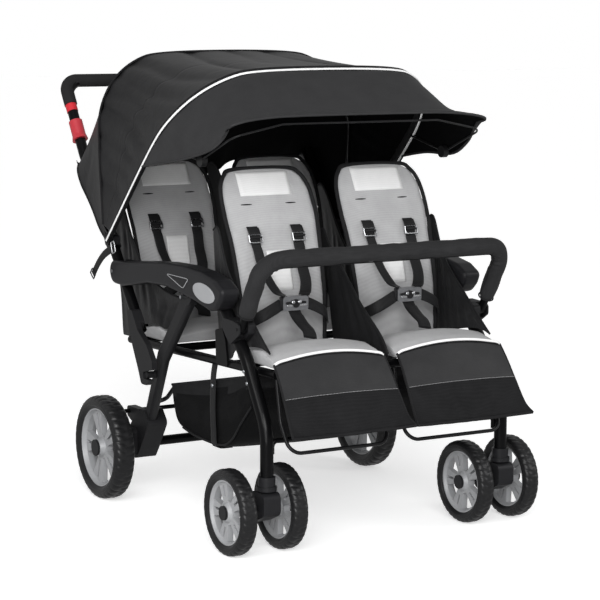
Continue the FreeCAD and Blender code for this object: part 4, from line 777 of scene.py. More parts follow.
def bowPoint(reach, degrees, across):
    # a place at a reach and an angle from straight back about the hood's pivot line
    turn = math.radians(degrees)
    return at(across, hoodSizes["pivotAhead"] - reach * math.cos(turn), hoodSizes["pivotUp"] + reach * math.sin(turn))


def bowLine(degrees, reach, spread, foot=hoodSizes["footReach"]):
    # one smooth arch from the left foot over the top to the right foot
    corners = [bowPoint(foot, degrees, -spread * hoodSizes["footShare"])]
    for widthShare, heightShare in hoodSizes["arch"]:
        corners.append(bowPoint(reach * heightShare, degrees, -spread * widthShare))
    return curveInside(mirrored(corners), hoodSizes["columns"] * 4)


def evenly(line, count):
    # the same line with its points spaced evenly along it
    lengths = [0.0]
    for a, b in zip(line, line[1:]):
        lengths.append(lengths[-1] + (b - a).length)
    places = []
    index = 0
    for step in range(count):
        want = lengths[-1] * step / (count - 1)
        while index < len(line) - 2 and lengths[index + 1] < want:
            index += 1
        span = max(lengths[index + 1] - lengths[index], 1e-9)
        places.append(line[index].lerp(line[index + 1], min(max((want - lengths[index]) / span, 0), 1)))
    return places


def foldField(seed, count, widest, deepest, lean=0.05):
    # a set of shallow folds: where each crosses the cloth, how wide and deep it is, from which edge it is pulled
    draw = random.Random(seed)
    folds = []
    for k in range(count):
        folds.append((draw.uniform(0.02, 0.98), draw.uniform(0.35, 1.0) * widest, draw.uniform(-1.0, 0.7) * deepest,
                      draw.choice((0, 1)), draw.uniform(-lean, lean), draw.uniform(0.35, 0.8)))

    def depth(across, along):
        total = 0.0
        for place, wide, deep, edge, slant, reach in folds:
            far = along if edge == 0 else 1 - along
            off = (across - place - slant * (along - 0.5) - 0.006 * math.sin(9 * along + place * 40)) / wide
            if abs(off) < 3:
                total += deep * math.exp(-off * off) * max(0.0, 1 - far / reach) ** 0.8 * min(1.0, far * 14 + 0.15)
        return total
    return depth


def creases(seed, places, wide, deep, ripples):
    # sharp creases that run the whole way from bow to bow, deepest between them, and finer folds on top
    draw = random.Random(seed)
    lines = [(place + draw.uniform(-0.010, 0.010), wide * draw.uniform(0.7, 1.4), deep * draw.uniform(0.45, 1.2),
              draw.uniform(-0.03, 0.03), draw.uniform(0, 6)) for place in places]

    def depth(across, along):
        total = ripples(across, along)
        for place, width, low, slant, phase in lines:
            off = abs(across - place - slant * (along - 0.5) - 0.004 * math.sin(7 * along + phase)) / width
            if off < 4:
                total -= low * math.exp(-1.4 * off) * math.sin(math.pi * min(along * 0.92 + 0.05, 1)) ** 0.4
        return total
    return depth


hoodMiddle = at(0, 150, 640)


def panelRows(first, last, rowShares, sagMm, folds):
    # cloth between two lines: pulled in a little between them, with folds
    rows = []
    for along in rowShares:
        row = []
        for k, (a, b) in enumerate(zip(first, last)):
            place = a.lerp(b, along)
            outward = Vector((place.x, place.y - hoodMiddle.y, place.z - hoodMiddle.z)).normalized()
            span = min(1.0, (b - a).length / 0.30)
            share = k / (len(first) - 1)
            lift = -sagMm * 4 * along * (1 - along) * span + folds(share, along) * min(1.0, span * 1.3)
            row.append(place + outward * lift / 1000)
        rows.append(row)
    return rows


def shares(first, last, count):
    return [first + (last - first) * k / (count - 1) for k in range(count)]


columns = hoodSizes["columns"]
rearAngle, frontAngle = hoodSizes["rearAngle"], hoodSizes["frontAngle"]
rearReach, frontReach, spread = hoodSizes["rearReach"], hoodSizes["frontReach"], hoodSizes["spread"]
rearLine = evenly(bowLine(rearAngle, rearReach, spread), columns)
frontLine = evenly(bowLine(frontAngle, frontReach, spread), columns)
hemLine = evenly(curveInside(mirrored([at(-x, a, u) for x, a, u in hoodSizes["hem"]]), columns * 4), columns)
creasePlaces = (0.07, 0.115, 0.15, 0.19, 0.235, 0.28, 0.33, 0.40, 0.60, 0.67, 0.72, 0.765, 0.81, 0.85, 0.885, 0.93)
mainFolds = creases(17, creasePlaces, 0.013, 14.0, foldField(11, 46, 0.020, 4.2))
curtainFolds = foldField(23, 30, 0.022, 4.5, 0.10)
halfWay = 0.5
hoodPanels = {
    # from which line to which, shares of the way, sag, folds, flat size
    "hoodCurtain": (hemLine, rearLine, shares(0, 1, 13), hoodSizes["curtainSag"], curtainFolds, (1.38, 0.20)),
    "hoodRearPanel": (rearLine, frontLine, shares(0, halfWay, 10), hoodSizes["panelSag"], mainFolds, (1.50, 0.145)),
    "hoodFrontPanel": (rearLine, frontLine, shares(halfWay, 1, 10), hoodSizes["panelSag"], mainFolds, (1.65, 0.14)),
}
hood = {}
for name, (first, last, along, sag, folds, flat) in hoodPanels.items():
    # the inner face takes the lining, whose colour holds painted shade
    hood[name] = sheetPiece(name, panelRows(first, last, along, sag, folds), ["shadedHoodLining", "hoodTaffeta"],
                            thickMm=hoodSizes["clothMm"])
    hood[name].modifiers["thickness"].material_offset = 1
    weighted = hood[name].modifiers.new("normals", "WEIGHTED_NORMAL")
    weighted.weight = 100
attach(hood["hoodCurtain"], "handle_frame")
topRear, topFront = bowPoint(rearReach, rearAngle, 0), bowPoint(frontReach, frontAngle, 0)
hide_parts("canopy_cover")


def trimOn(name, line, radiusMm, flat, finish, body=None, sides=8):
    # a cord, binding or seam along a line
    piece = sweptPiece(name, line, ring(radiusMm, sides, flat), finish, body)
    return piece


# seams and casings
forward = (bowPoint(frontReach, frontAngle + 1, 0) - topFront).normalized()
casingIn, pipingOut, seamOut = 7.0, 1.0, 0.6
casingLine = evenly(bowLine(frontAngle, frontReach - casingIn, spread - casingIn, 20), 120)
trimOn("frontBowCasing", casingLine, hoodSizes["casingMm"], 0.92, "blackBinding", "front_bow", 12)
pipingLine = evenly(bowLine(frontAngle, frontReach + pipingOut, spread + pipingOut, 14), 130)
trimOn("hoodPiping", moved(pipingLine, forward * 0.0075), hoodSizes["cordMm"], 1.0, "whitePiping", "front_bow")
trimOn("hoodPipingSeam", moved(pipingLine, forward * 0.0118), 1.8, 1.0, "blackBinding", "front_bow")
rearSeam = evenly(bowLine(rearAngle, rearReach + seamOut, spread + seamOut), 110)
trimOn("rearBowSeam", rearSeam, 2.6, 0.8, "blackBinding", "handle_frame")
trimOn("curtainHem", hemLine, 2.6, 1.0, "blackBinding", "handle_frame")

# the curtain's lower corners are wrapped round the handle tubes
wrapFrom, wrapTo = (-136, 668), (-216, 770)
for sideName, side in sides:
    wrapRows = []
    for rise in shares(0, 1, 7):
        ahead = wrapFrom[0] + (wrapTo[0] - wrapFrom[0]) * rise
        up = wrapFrom[1] + (wrapTo[1] - wrapFrom[1]) * rise
        turnIn = [(319 + rise, ahead, up), (317, ahead - 7, up - 5), (306, ahead - 12, up - 10),
                  (293, ahead - 9, up - 8), (286, ahead + 6, up + 2), (285, ahead + 22, up + 8)]
        wrapRows.append(curveInside([at(side * x, a, u) for x, a, u in turnIn], 10))
    wrap = sheetPiece("hoodWrap_" + sideName, wrapRows, "hoodTaffeta", "handle_frame", hoodSizes["clothMm"])


# Visor: its own cloth from the front bow to the hoop


def visorHalf(along, rise):
    # the corners of half an arch of the visor, from its side edge to near the middle
    near, far = visorSizes["foot"], visorSizes["corner"]
    foot = at(0, near[0] + (far[0] - near[0]) * along, near[1] + (far[1] - near[1]) * rise)
    lift = topFront.lerp(at(0, *visorSizes["front"]), along) - foot
    half = (spread + (visorSizes["spread"] - spread) * along) / 1000
    corners = [foot - Vector((half, 0, 0))]
    for widthShare, heightShare in visorSizes["arch"]:
        corners.append(foot + lift * heightShare - Vector((half * widthShare, 0, 0)))
    back = max(0.0, (along - 0.6) / 0.4) ** 2 * visorSizes["cornerBack"] / 1000
    corners[0].y += back
    corners[0].x += back * visorSizes["roundShare"]
    corners[1].y += back * visorSizes["roundShare"]
    return corners


sections = []
for along, riseLeft, riseRight in visorSizes["steps"]:
    # the right side edge hangs lower between the bow and the knob
    arch = visorHalf(along, riseLeft) + [Vector((-p.x, p.y, p.z)) for p in reversed(visorHalf(along, riseRight))]
    sections.append(evenly(curveInside(arch, visorSizes["columns"] * 2), visorSizes["columns"]))
visorColumns = []
for c in range(visorSizes["columns"]):
    visorColumns.append(curveThrough([section[c] for section in sections], visorSizes["rows"]))
visorRows = []
visorFolds = foldField(5, 16, 0.05, 2.2, 0.2)
for r in range(visorSizes["rows"]):
    row = []
    for c in range(visorSizes["columns"]):
        place = visorColumns[c][r]
        along = r / (visorSizes["rows"] - 1)
        share = c / (visorSizes["columns"] - 1)
        lift = -5.0 * math.sin(math.pi * along) * math.sin(math.pi * share) ** 0.5 + visorFolds(share, along)
        outward = Vector((place.x, place.y - hoodMiddle.y, place.z - hoodMiddle.z)).normalized()
        row.append(place + outward * lift / 1000 + forward * 0.004 * (1 - along))
    visorRows.append(row)
# the visor's underside takes the lining, whose colour holds painted shade
visor = sheetPiece("visorCloth", visorRows, ["shadedHoodLining", "visorTaffeta"], thickMm=visorSizes["clothMm"])
visor.modifiers["thickness"].material_offset = 1
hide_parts("canopy_visor")
leftEdge, rightEdge = [[row[k] for row in visorRows] for k in (0, -1)]
brimLine = evenly(leftEdge + visorRows[-1][1:-1] + rightEdge[::-1], 190)
brim = trimOn("visorBrim", brimLine, 3.0, 0.9, "visorTaffeta")
hemRows = []
frontRow = visorRows[-1]
for inset in (0.6, 4.0, 8.0, visorSizes["hemMm"]):
    hemRow = []
    for c, last in enumerate(frontRow):
        inward = (visorRows[-3][c] - last).normalized()
        across = (frontRow[min(c + 1, len(frontRow) - 1)] - frontRow[max(c - 1, 0)]).normalized()
        outward = inward.cross(across).normalized()
        if outward.z < 0:
            outward = -outward
        hemRow.append(last + inward * inset / 1000 + outward * 0.0021)
    hemRows.append(hemRow)
hem = sheetPiece("visorHem", hemRows, "visorTaffeta", thickMm=1.2, levels=0)
print("stage: hood")
# Leg rests: a cloth flap below each front seat, satin above its stitched seam, coarser below

flapSizes = {
    # half width, then ahead and up at the ends and in the middle, from the piping down to the hem
    "lines": ((133, 666, 402.5, 668.5, 419), (135, 692, 370, 695, 379), (138, 720, 328, 722.5, 331),
              (142, 749, 285, 740.5, 284), (148, 771, 267, 752.5, 261)),
    "middle": 150, "columns": 57, "rows": 41, "clothMm": 3.2, "seamShare": 0.47, "pipingMm": 3.2, "bindingMm": 3.0,
    "stitchPoints": 400, "seeds": {"left": 3, "right": 8},
}


def flapLine(line, count):
    # one row of the flap from end to end through its middle, on a flat arch
    half, endAhead, endUp, middleAhead, middleUp = line
    row = []
    for k in range(count):
        across = -1 + 2 * k / (count - 1)
        bow = 1 - across * across
        row.append(at(across * half, endAhead + (middleAhead - endAhead) * bow, endUp + (middleUp - endUp) * bow))
    return row


def flapRows(seed):
    lines = [flapLine(line, flapSizes["columns"]) for line in flapSizes["lines"]]
    falls = [curveThrough([line[c] for line in lines], flapSizes["rows"]) for c in range(flapSizes["columns"])]
    draw = random.Random(seed)
    pulls = [(draw.uniform(-0.9, 0.9), draw.uniform(0.55, 1.0), draw.uniform(0.05, 0.12), draw.uniform(-2.6, 1.6),
              draw.uniform(0.5, 1.3)) for _ in range(15)]
    rows = []
    for r in range(flapSizes["rows"]):
        along = r / (flapSizes["rows"] - 1)
        below = along - flapSizes["seamShare"]
        row = []
        for c in range(flapSizes["columns"]):
            across = -1 + 2 * c / (flapSizes["columns"] - 1)
            lift = -1.6 * math.exp(-(below / 0.02) ** 2)
            if below > 0:
                # diagonal pulls from the hem's corners towards the middle
                for middle, reach, wide, deep, slant in pulls:
                    lean = across - middle + slant * (reach - along) * (1 if middle < 0 else -1)
                    lift += deep * math.exp(-(lean / wide) ** 2) * min(1.0, below * 7) * (0.4 + 0.6 * along)
            lift += 1.2 * noise.noise(Vector((across * 3, along * 3, seed)))
            edge = min(1.0, (1 - abs(across)) * 9) * min(1.0, along * 10)
            row.append(falls[c][r] + Vector((0, -0.7, 0.35)) * lift * edge / 1000)
        rows.append(row)
    return rows


def stitchRow(name, line, radiusMm, finish):
    # a seam of short stitches along a line
    line = evenly(line, flapSizes["stitchPoints"])
    stitches = [sweptPiece("stitch", line[start:start + 4], ring(radiusMm, 5), finish)
                for start in range(4, flapSizes["stitchPoints"] - 4, 5)]
    joinPieces(name, stitches, "front_frame")


seamRow = int(flapSizes["seamShare"] * (flapSizes["rows"] - 1))
for sideName, side in sides:
    shift = Vector((side * flapSizes["middle"] / 1000, 0, 0))
    flapGrid = [moved(row, shift) for row in flapRows(flapSizes["seeds"][sideName])]
    flap = sheetPiece("legRest_" + sideName, flapGrid, ["legRestSatin", "blackCanvas"], "front_frame",
                      flapSizes["clothMm"])
    rowOf = [k // (flapSizes["columns"] - 1) for k in range(len(flap.data.polygons))]
    flap.data.polygons.foreach_set("material_index", [0 if row < seamRow else 1 for row in rowOf])
    if side < 0:
        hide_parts("leg_rests")
    # white piping along the top, binding down the sides, a rolled hem, light stitches along the seam
    top = flapGrid[0]
    ends = [top[k] + Vector((0, 0.001, -0.002)) for k in (0, -1)]
    piping = curveThrough(ends[:1] + moved(top[2:-2:4], Vector((0, -0.002, 0.003))) + ends[1:], 110)
    trimOn("seatPiping_" + sideName, piping, flapSizes["pipingMm"], 1.0, "whitePiping", "front_frame")
    trimOn("seatPipingSeam_" + sideName, moved(piping, Vector((0, -0.0025, -0.0042))), 1.8, 1.0, "blackBinding",
           "front_frame")
    edges = {"left": [row[0] for row in flapGrid], "right": [row[-1] for row in flapGrid], "hem": flapGrid[-1]}
    for label, edge in edges.items():
        trimOn("legRestEdge_%s_%s" % (sideName, label), evenly(edge, 70), flapSizes["bindingMm"], 0.75,
               "blackBinding", "front_frame")
    outward = Vector((0, -0.0031, 0.0014))
    stitchRow("legRestSeam_" + sideName, moved(flapGrid[seamRow], outward), 0.55, "greyThread")
    stitchRow("legRestHemSeam_" + sideName, moved(flapGrid[-4], outward), 0.5, "blackBinding")
print("stage: leg rests")
# Harness: shoulder straps with ladder adjusters, waist and crotch straps, a buckle with a plated bar

harnessSizes = {
    "widthMm": 25, "thickMm": 1.8, "loopMm": 27, "foldMm": 29, "crotchMm": 30, "slotAcross": 54, "slotUp": 658,
    "adjusterUp": 640, "adjusterWide": 31, "adjusterHigh": 17, "adjusterLift": 9.5, "barUp": 0.25, "skinMm": 1.6,
    "buckleAhead": 511, "buckleUp": 503, "barHalf": 24, "studAcross": 8,
    # each ring of a stud: radius and height, mm
    "stud": ((4.4, 0), (4.4, 1.0), (3.8, 1.7), (2.2, 2.2), (0.3, 2.4)),
}
plainAcross = Vector((1, 0, 0))


def strapPiece(name, points, side=plainAcross, widthMm=harnessSizes["widthMm"], count=40):
    # webbing along a smooth line, its flat side held square to the given direction
    outline = tape(widthMm, harnessSizes["thickMm"])
    return sweptPiece(name, curveThrough(points, count), outline, "blackWebbing", side=side)


def ladderAdjuster(centre, turn):
    # a pressed frame with a bar across it, and the webbing behind the bar

    def spots(pairs, outMm=0.0):
        wide, high = harnessSizes["adjusterWide"] / 2, harnessSizes["adjusterHigh"] / 2
        return [centre + turn @ (Vector((x * wide, -outMm, z * high)) / 1000) for x, z in pairs]

    corners = ((-0.8, -1), (0.8, -1), (1, -0.8), (1, 0.8), (0.8, 1), (-0.8, 1), (-1, 0.8), (-1, -0.8))
    loop = curveThrough(spots(corners), 40, True)
    rim = sweptPiece("frame", loop, ring(1.9, 8, 0.8), "silverDieCast", cyclic=True)
    across = spots([(x, harnessSizes["barUp"]) for x in (-0.95, -0.3, 0.3, 0.95)], 1.2)
    return rim, sweptPiece("bar", curveThrough(across, 12), ring(2.4, 8, 0.7), "darkNylonMoulding")


def makeHarness():
    sizes = harnessSizes
    slotUp, adjusterUp = sizes["slotUp"], sizes["adjusterUp"]
    centre = at(-seatSizes["backMiddle"], sizes["buckleAhead"], sizes["buckleUp"])
    webbing, metal, mouldings = [], [], []

    def near(across, ahead, up):
        # a place from the buckle's middle, mm
        return centre + Vector((across, -ahead, up)) / 1000

    def onSeat(across, up, liftMm):
        return onBack(across, up, liftMm + sizes["skinMm"])

    for way in (-1, 1):
        slot = way * sizes["slotAcross"]
        # the short loop out of the seam, folded over the adjuster
        loop = [onSeat(slot, slotUp + 3, 0.6), onSeat(slot, slotUp - 2, 3.5), onSeat(slot, adjusterUp + 6, 6.5),
                onSeat(slot, adjusterUp - 2, 7.5)]
        webbing.append(strapPiece("loop", loop, widthMm=sizes["loopMm"], count=14))
        fold = [onSeat(slot, slotUp + 1, 4.2), onSeat(slot, slotUp - 6, 7.5), onSeat(slot, adjusterUp + 4, 9.5)]
        webbing.append(strapPiece("fold", fold, widthMm=sizes["foldMm"], count=10))
        face = (onSeat(slot, adjusterUp - 8, 8) - onSeat(slot, adjusterUp + 8, 8)).normalized()
        turn = Vector((0, 0, -1)).rotation_difference(face).to_matrix()
        adjusterAt = onSeat(slot, adjusterUp - 3, sizes["adjusterLift"])
        rim, bar = ladderAdjuster(adjusterAt, turn)
        metal.append(rim)
        mouldings.append(bar)
        # the shoulder strap from the adjuster to the buckle
        run = [adjusterAt + Vector((0, 0.003, 0.004)), onSeat(way * 53, 626, 4.0), onSeat(way * 52, 610, 7),
               onSeat(way * 49, 578, 12), near(way * 44, -27, 44), near(way * 35, -12, 24), near(way * 24, -0.5, 16.5)]
        webbing.append(strapPiece("shoulder", run, Vector((1, 0, 0.25 * way))))
        # the waist strap, round the child's side
        waist = [near(way * 31.5, -1, -1), near(way * 52, 2, -10), near(way * 78, -3, -24), near(way * 96, -22, -38),
                 onSeat(way * 101, 458, 1.5)]
        webbing.append(strapPiece("waist", waist, Vector((0, 0.25, 1))))
        # the flat moulded ear that the two straps share
        mouldings.append(boxPiece("ear", near(way * 26, -1.2, 4), (9, 3.2, 12), "darkNylonMoulding", 2.5))
    crotch = [near(0, -0.5, -15.5), near(0, 14, -30), near(0, 38, -43), near(0, 62, -54),
              onPad(-3, sizes["buckleAhead"] + 78, 1.0 + sizes["skinMm"])]
    webbing.append(strapPiece("crotch", crotch, widthMm=sizes["crotchMm"]))
    second = [p + Vector((0, 0.0005, 0.0032)) for p in crotch[1:]]
    second[0] += Vector((0, -0.001, 0.002))
    webbing.append(strapPiece("crotchFold", second, widthMm=sizes["loopMm"], count=24))
    # a dark bar across the buckle's plate with two domed studs on it, and a bright lip under it
    half = sizes["barHalf"]
    barLine = [near(x, 8.2, 2.5 - 1.2 * (x / half) ** 2) for x in range(-half, half + 1, 3)]
    mouldings.append(sweptPiece("bar", barLine, ring(2.6, 12, 0.7), "darkNylonMoulding", side=Vector((0, 0, 1))))
    metal.append(boxPiece("frame", near(3, 7.2, -4.2), (25, 1.6, 2.4), "silverDieCast", 0.9))
    for way in (-1, 1):
        stud = near(way * sizes["studAcross"], 10, 3)
        metal.append(ringStack("stud", stud, sizes["stud"], 20, Vector((0, -1, 0)), plainAcross, "silverDieCast"))
    return {"webbing": webbing, "metal": metal, "moulding": mouldings}


harnessWhole = {kind: joinPieces("harness_" + kind, pieces) for kind, pieces in makeHarness().items()}
firstStrap = True
for rowName, behind, drop in seatRows:
    for sideName, side in sides:
        shift = seatShift(side, "backMiddle", behind, drop)
        for kind, source in harnessWhole.items():
            piece = placedCopy(source, "harness_%s_%s_%s" % (kind, rowName, sideName), shift)
            piece.data.set_sharp_from_angle(angle=math.radians(50))
            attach(piece, "front_frame")
            if firstStrap:
                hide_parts("harness_webbing")
                firstStrap = False
for one in harnessWhole.values():
    bpy.data.objects.remove(one)
print("stage: harness")
# Side wings and dividers: gathered cloth walls beside and between the seats

panelSizes = {"across": 276.5, "columns": 49, "rows": 25, "clothMm": 1.6, "bindingMm": 2.6, "topMm": 100}
wallSizes = {
    # lower and upper edge, each (ahead, up); flat size; bulge inward and outward, mm; gathers; seed
    "wingFront": {
        "low": ((420, 383), (478, 385), (482, 409), (550, 424), (604, 429), (638, 420)),
        "high": ((392, 655), (412, 671), (437, 608), (462, 564), (527, 511), (590, 458), (638, 421)),
        "flat": (0.24, 0.12), "bulge": (7.0, 2.2), "gathers": 7, "seed": 7},
    "wingRear": {
        "low": ((-58, 369), (3, 371), (4, 397), (72, 412), (126, 417), (160, 408), (206, 421)),
        "high": ((-104, 690), (-84, 706), (-48, 668), (-10, 600), (60, 526), (160, 495), (262, 488)),
        "flat": (0.30, 0.165), "bulge": (7.0, 2.2), "gathers": 8, "seed": 12},
    "dividerFront": {
        "low": ((440, 384), (510, 386), (580, 388), (650, 389), (656, 400)),
        "high": ((378, 640), (392, 648), (406, 620), (483, 554), (552, 489), (632, 438), (656, 402)),
        "flat": (0.24, 0.14), "bulge": (5.0, 5.0), "gathers": 5, "seed": 31},
    "dividerRear": {
        "low": ((-68, 400), (22, 374), (102, 376), (172, 377), (178, 388)),
        "high": ((-160, 746), (-134, 764), (-92, 736), (-38, 628), (22, 540), (154, 426), (178, 390)),
        "flat": (0.26, 0.20), "bulge": (5.0, 5.0), "gathers": 5, "seed": 43},
}


def wallRows(sizes, across, side):
    # rows from the lower edge to the upper, with soft upright folds that gather under the elastic at the top
    lowLine, highLine = [evenly(curveInside([at(across, a, u) for a, u in sizes[key]], 200), panelSizes["columns"])
                         for key in ("low", "high")]
    roomIn, roomOut = sizes["bulge"]
    grid = []
    for r in range(panelSizes["rows"]):
        along = r / (panelSizes["rows"] - 1)
        hang = math.sin(math.pi * min(along * 1.15 + 0.02, 1)) ** 0.5
        row = []
        for c in range(panelSizes["columns"]):
            share = c / (panelSizes["columns"] - 1)
            tall = min(1.0, (highLine[c] - lowLine[c]).length * 1000 / panelSizes["topMm"])
            drift = noise.noise(Vector((share * 3, along * 1.5, sizes["seed"])))
            wave = math.sin(sizes["gathers"] * share * 6.28 + 2.2 * drift)
            soft = noise.noise(Vector((share * 4, along * 3, sizes["seed"] + 5)))
            level = (0.55 * wave * (0.25 + 0.75 * along ** 1.5) + 0.6 * soft) * tall * hang
            push = level * (roomOut if level * side > 0 else roomIn) / 1000
            row.append(lowLine[c].lerp(highLine[c], along) + Vector((push, 0, 0)))
        grid.append(row)
    return grid


def wall(name, kind, across, side, finish):
    grid = wallRows(wallSizes[kind], across, side)
    piece = sheetPiece(name, grid, finish, "front_frame", panelSizes["clothMm"])
    trimOn(name + "Binding", evenly(grid[-1], 80), panelSizes["bindingMm"], 0.8, "blackBinding", "front_frame")
    return piece


for sideName, side in sides:
    for rowName in ("front", "rear"):
        wing = wall("seatWing_%s_%s" % (rowName, sideName), "wing" + rowName.title(), side * panelSizes["across"],
                    side, "wingSatin")
        if wing.name == "seatWing_front_left":
            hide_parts("side_panels")
for rowName in ("front", "rear"):
    wall("seatDivider_" + rowName, "divider" + rowName.title(), 0, 1, "blackCanvas")
print("stage: side walls")
# Guard bar sleeve: a quilted-through fabric tube, puckered where the bar bends

sleeveSizes = {"across": 303, "low": (566, 465), "corner": (655, 618), "bend": 50, "arcSteps": 12, "radiusMm": 18.4,
               "startShare": 0.18, "spacing": 4.0, "sides": 28, "seamShare": 0.75, "bendReach": 48, "innerDrop": 0.08}


def bentLine(corners, bendMm, spacingMm):
    # straight runs joined by arcs, with points evenly along them
    line = [corners[0]]
    for before, corner, after in zip(corners, corners[1:], corners[2:]):
        inward, onward = (before - corner).normalized(), (after - corner).normalized()
        half = inward.angle(onward) / 2
        reach = bendMm / 1000 / math.tan(half)
        centre = corner + (inward + onward).normalized() * (bendMm / 1000 / math.sin(half))
        start, end = corner + inward * reach, corner + onward * reach
        for k in range(sleeveSizes["arcSteps"] + 1):
            arm = (start - centre).slerp(end - centre, k / sleeveSizes["arcSteps"])
            line.append(centre + arm.normalized() * bendMm / 1000)
    line.append(corners[-1])
    total = sum((b - a).length for a, b in zip(line, line[1:]))
    return evenly(line, int(total * 1000 / spacingMm))


def makeSleeve():
    sizes = sleeveSizes
    count, spacing = sizes["sides"], sizes["spacing"]
    low = at(-sizes["across"], *sizes["low"])
    corner = at(-sizes["across"], *sizes["corner"])
    start = low.lerp(corner, sizes["startShare"])
    route = mirrored([start, corner])
    line = bentLine(route, sizes["bend"], spacing)
    rings = sweepRings(line, ring(sizes["radiusMm"], count), Vector((0, 1, 0)))
    bendPlaces = [min(range(len(line)), key=lambda k: (line[k] - p).length) for p in route[1:3]]
    middle = (rings[0][0] + rings[-1][0]) / 2
    innerSide = Vector((0, middle.y, middle.z - sizes["innerDrop"]))
    seamAt = int(count * sizes["seamShare"])
    points = []
    for index, one in enumerate(rings):
        along = index * spacing
        nearBend = max(math.exp(-((index - b) * spacing / sizes["bendReach"]) ** 2) for b in bendPlaces)
        inner = (innerSide - line[index]).normalized()
        close = -4.5 * math.exp(-(min(index, len(rings) - 1 - index) / 2.0) ** 2)
        for k, place in enumerate(one):
            out = (place - line[index]).normalized()
            drift = noise.noise(Vector((along / 30, k * 0.3, 1.7)))
            ripple = math.sin(along / 2.5 + 1.5 * drift) * 2.4 * nearBend * max(0.0, out.dot(inner))
            turn = 6.28 * k / count
            slow = noise.noise(Vector((along / 34, math.cos(turn) * 1.2, math.sin(turn) * 1.2))) * 2.2
            seam = -1.2 * math.exp(-((k - seamAt) / 0.9) ** 2)
            points.append(place + out * (ripple + slow + seam + close) / 1000)
    faces = gridFaces(len(rings), count, True)
    faces += [tuple(reversed(range(count))), tuple(range(len(points) - count, len(points)))]
    sleeve = newPiece("guardBarSleeve", points, faces, "sleeveFabric", "guard_bar")
    smoothed(sleeve)
    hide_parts("bumper_sleeve")
    # the closing seam under the bar, and a binding at each end
    trimOn("guardBarSeam", [one[seamAt] for one in rings][3:-3], 1.6, 0.8, "blackBinding", "guard_bar")
    for label, k in (("left", 1), ("right", len(rings) - 2)):
        loop = [line[k] + (p - line[k]) * 0.9 for p in rings[k]]
        edge = sweptPiece("guardBarEnd_" + label, loop, ring(1.7, 8), "blackBinding", "guard_bar", cyclic=True)


makeSleeve()
print("stage: guard bar sleeve")
# Basket: a net bag with a solid band and bound edges

basketSizes = {
    "half": 270, "rearTop": (178, 286), "frontTop": (577, 366), "bandMm": 24, "sagMm": 7, "bulgeMm": 4,
    "profile": ((178, 286), (189, 236), (204, 201), (246, 189), (300, 182), (355, 180), (409, 183), (466, 205),
                (514, 252), (556, 292), (571, 330), (577, 366)),
    "profileSteps": 61, "wallSteps": 9, "floorSteps": 25, "cornerMm": 12, "clothMm": 1.6, "bindingMm": 2.8,
    "bandRows": (3, 4), "seamOut": 3.0, "strapMm": 24,
    "seam": ((236, 198), (300, 189), (409, 189), (462, 208), (508, 254), (552, 296)),
    "strap": ((270, 389, 372), (273.5, 388, 352), (275.5, 387, 330), (277.5, 388, 290), (278, 389, 250),
              (277, 390, 214),
              (275.5, 390, 190), (267, 390, 180), (236, 390, 178.5)),
}


def basketRows():
    sizes = basketSizes
    profile = evenly(curveThrough([Vector((0, a, u)) for a, u in sizes["profile"]], 400), sizes["profileSteps"])
    rearTop, frontTop = sizes["rearTop"], sizes["frontTop"]
    half = sizes["half"]
    grid = []
    for _, ahead, up in profile:
        share = (ahead - rearTop[0]) / (frontTop[0] - rearTop[0])
        topUp = rearTop[1] + (frontTop[1] - rearTop[1]) * share
        depth = max(topUp - up, 0)
        corner = min(sizes["cornerMm"], depth * 0.6)
        walls = []
        for side in (-1, 1):
            wallPart = []
            for k in range(sizes["wallSteps"]):
                drop = k / (sizes["wallSteps"] - 1)
                bulge = sizes["bulgeMm"] * math.sin(math.pi * drop) * min(1, depth / 80)
                fold = 1.8 * noise.noise(Vector((ahead / 38, drop * 1.6, side * 3.0))) * min(1, depth / 60)
                out = half + bulge + fold - 4 * (1 - abs(2 * share - 1)) * (1 - drop)
                wallPart.append(at(side * out, ahead, topUp - (depth - corner) * drop))
            for turn in (0.35, 0.7):
                angle = turn * math.pi / 2
                wallPart.append(at(side * (half - corner * (1 - math.cos(angle))), ahead,
                                   up + corner * (1 - math.sin(angle))))
            walls.append(wallPart)
        base = []
        for k in range(sizes["floorSteps"]):
            across = -1 + 2 * k / (sizes["floorSteps"] - 1)
            sag = sizes["sagMm"] * (1 - across * across) * min(1, depth / 60)
            fold = 2.0 * noise.noise(Vector((across * 5, ahead / 60, 9.0))) * min(1, depth / 60)
            base.append(at(across * (half - corner), ahead, up - sag + fold))
        grid.append(walls[0] + base + walls[1][::-1])
    return grid


bagRows = basketRows()
basket = sheetPiece("basketBag", bagRows, ["basketNet", "blackCanvas"], thickMm=basketSizes["clothMm"])
bagColumns = len(bagRows[0]) - 1
isBand = []
for k, face in enumerate(basket.data.polygons):
    row, column = divmod(k, bagColumns)
    inWall = min(column, bagColumns - 1 - column) < basketSizes["wallSteps"]
    top = bagRows[row][0 if column < bagColumns / 2 else -1].z
    atEnd = row < basketSizes["bandRows"][0] or row > basketSizes["profileSteps"] - 1 - basketSizes["bandRows"][1]
    isBand.append(int(atEnd or (inWall and (top - face.center.z) * 1000 < basketSizes["bandMm"])))
basket.data.polygons.foreach_set("material_index", isBand)
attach(basket, "front_frame")
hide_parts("basket")
edges = {"left": [row[0] for row in bagRows], "right": [row[-1] for row in bagRows], "rear": bagRows[0],
         "front": bagRows[-1]}
basketTrim = [trimOn("basketBinding_" + label, evenly(edge, 90), basketSizes["bindingMm"], 0.8, "blackBinding",
                     "front_frame") for label, edge in edges.items()]
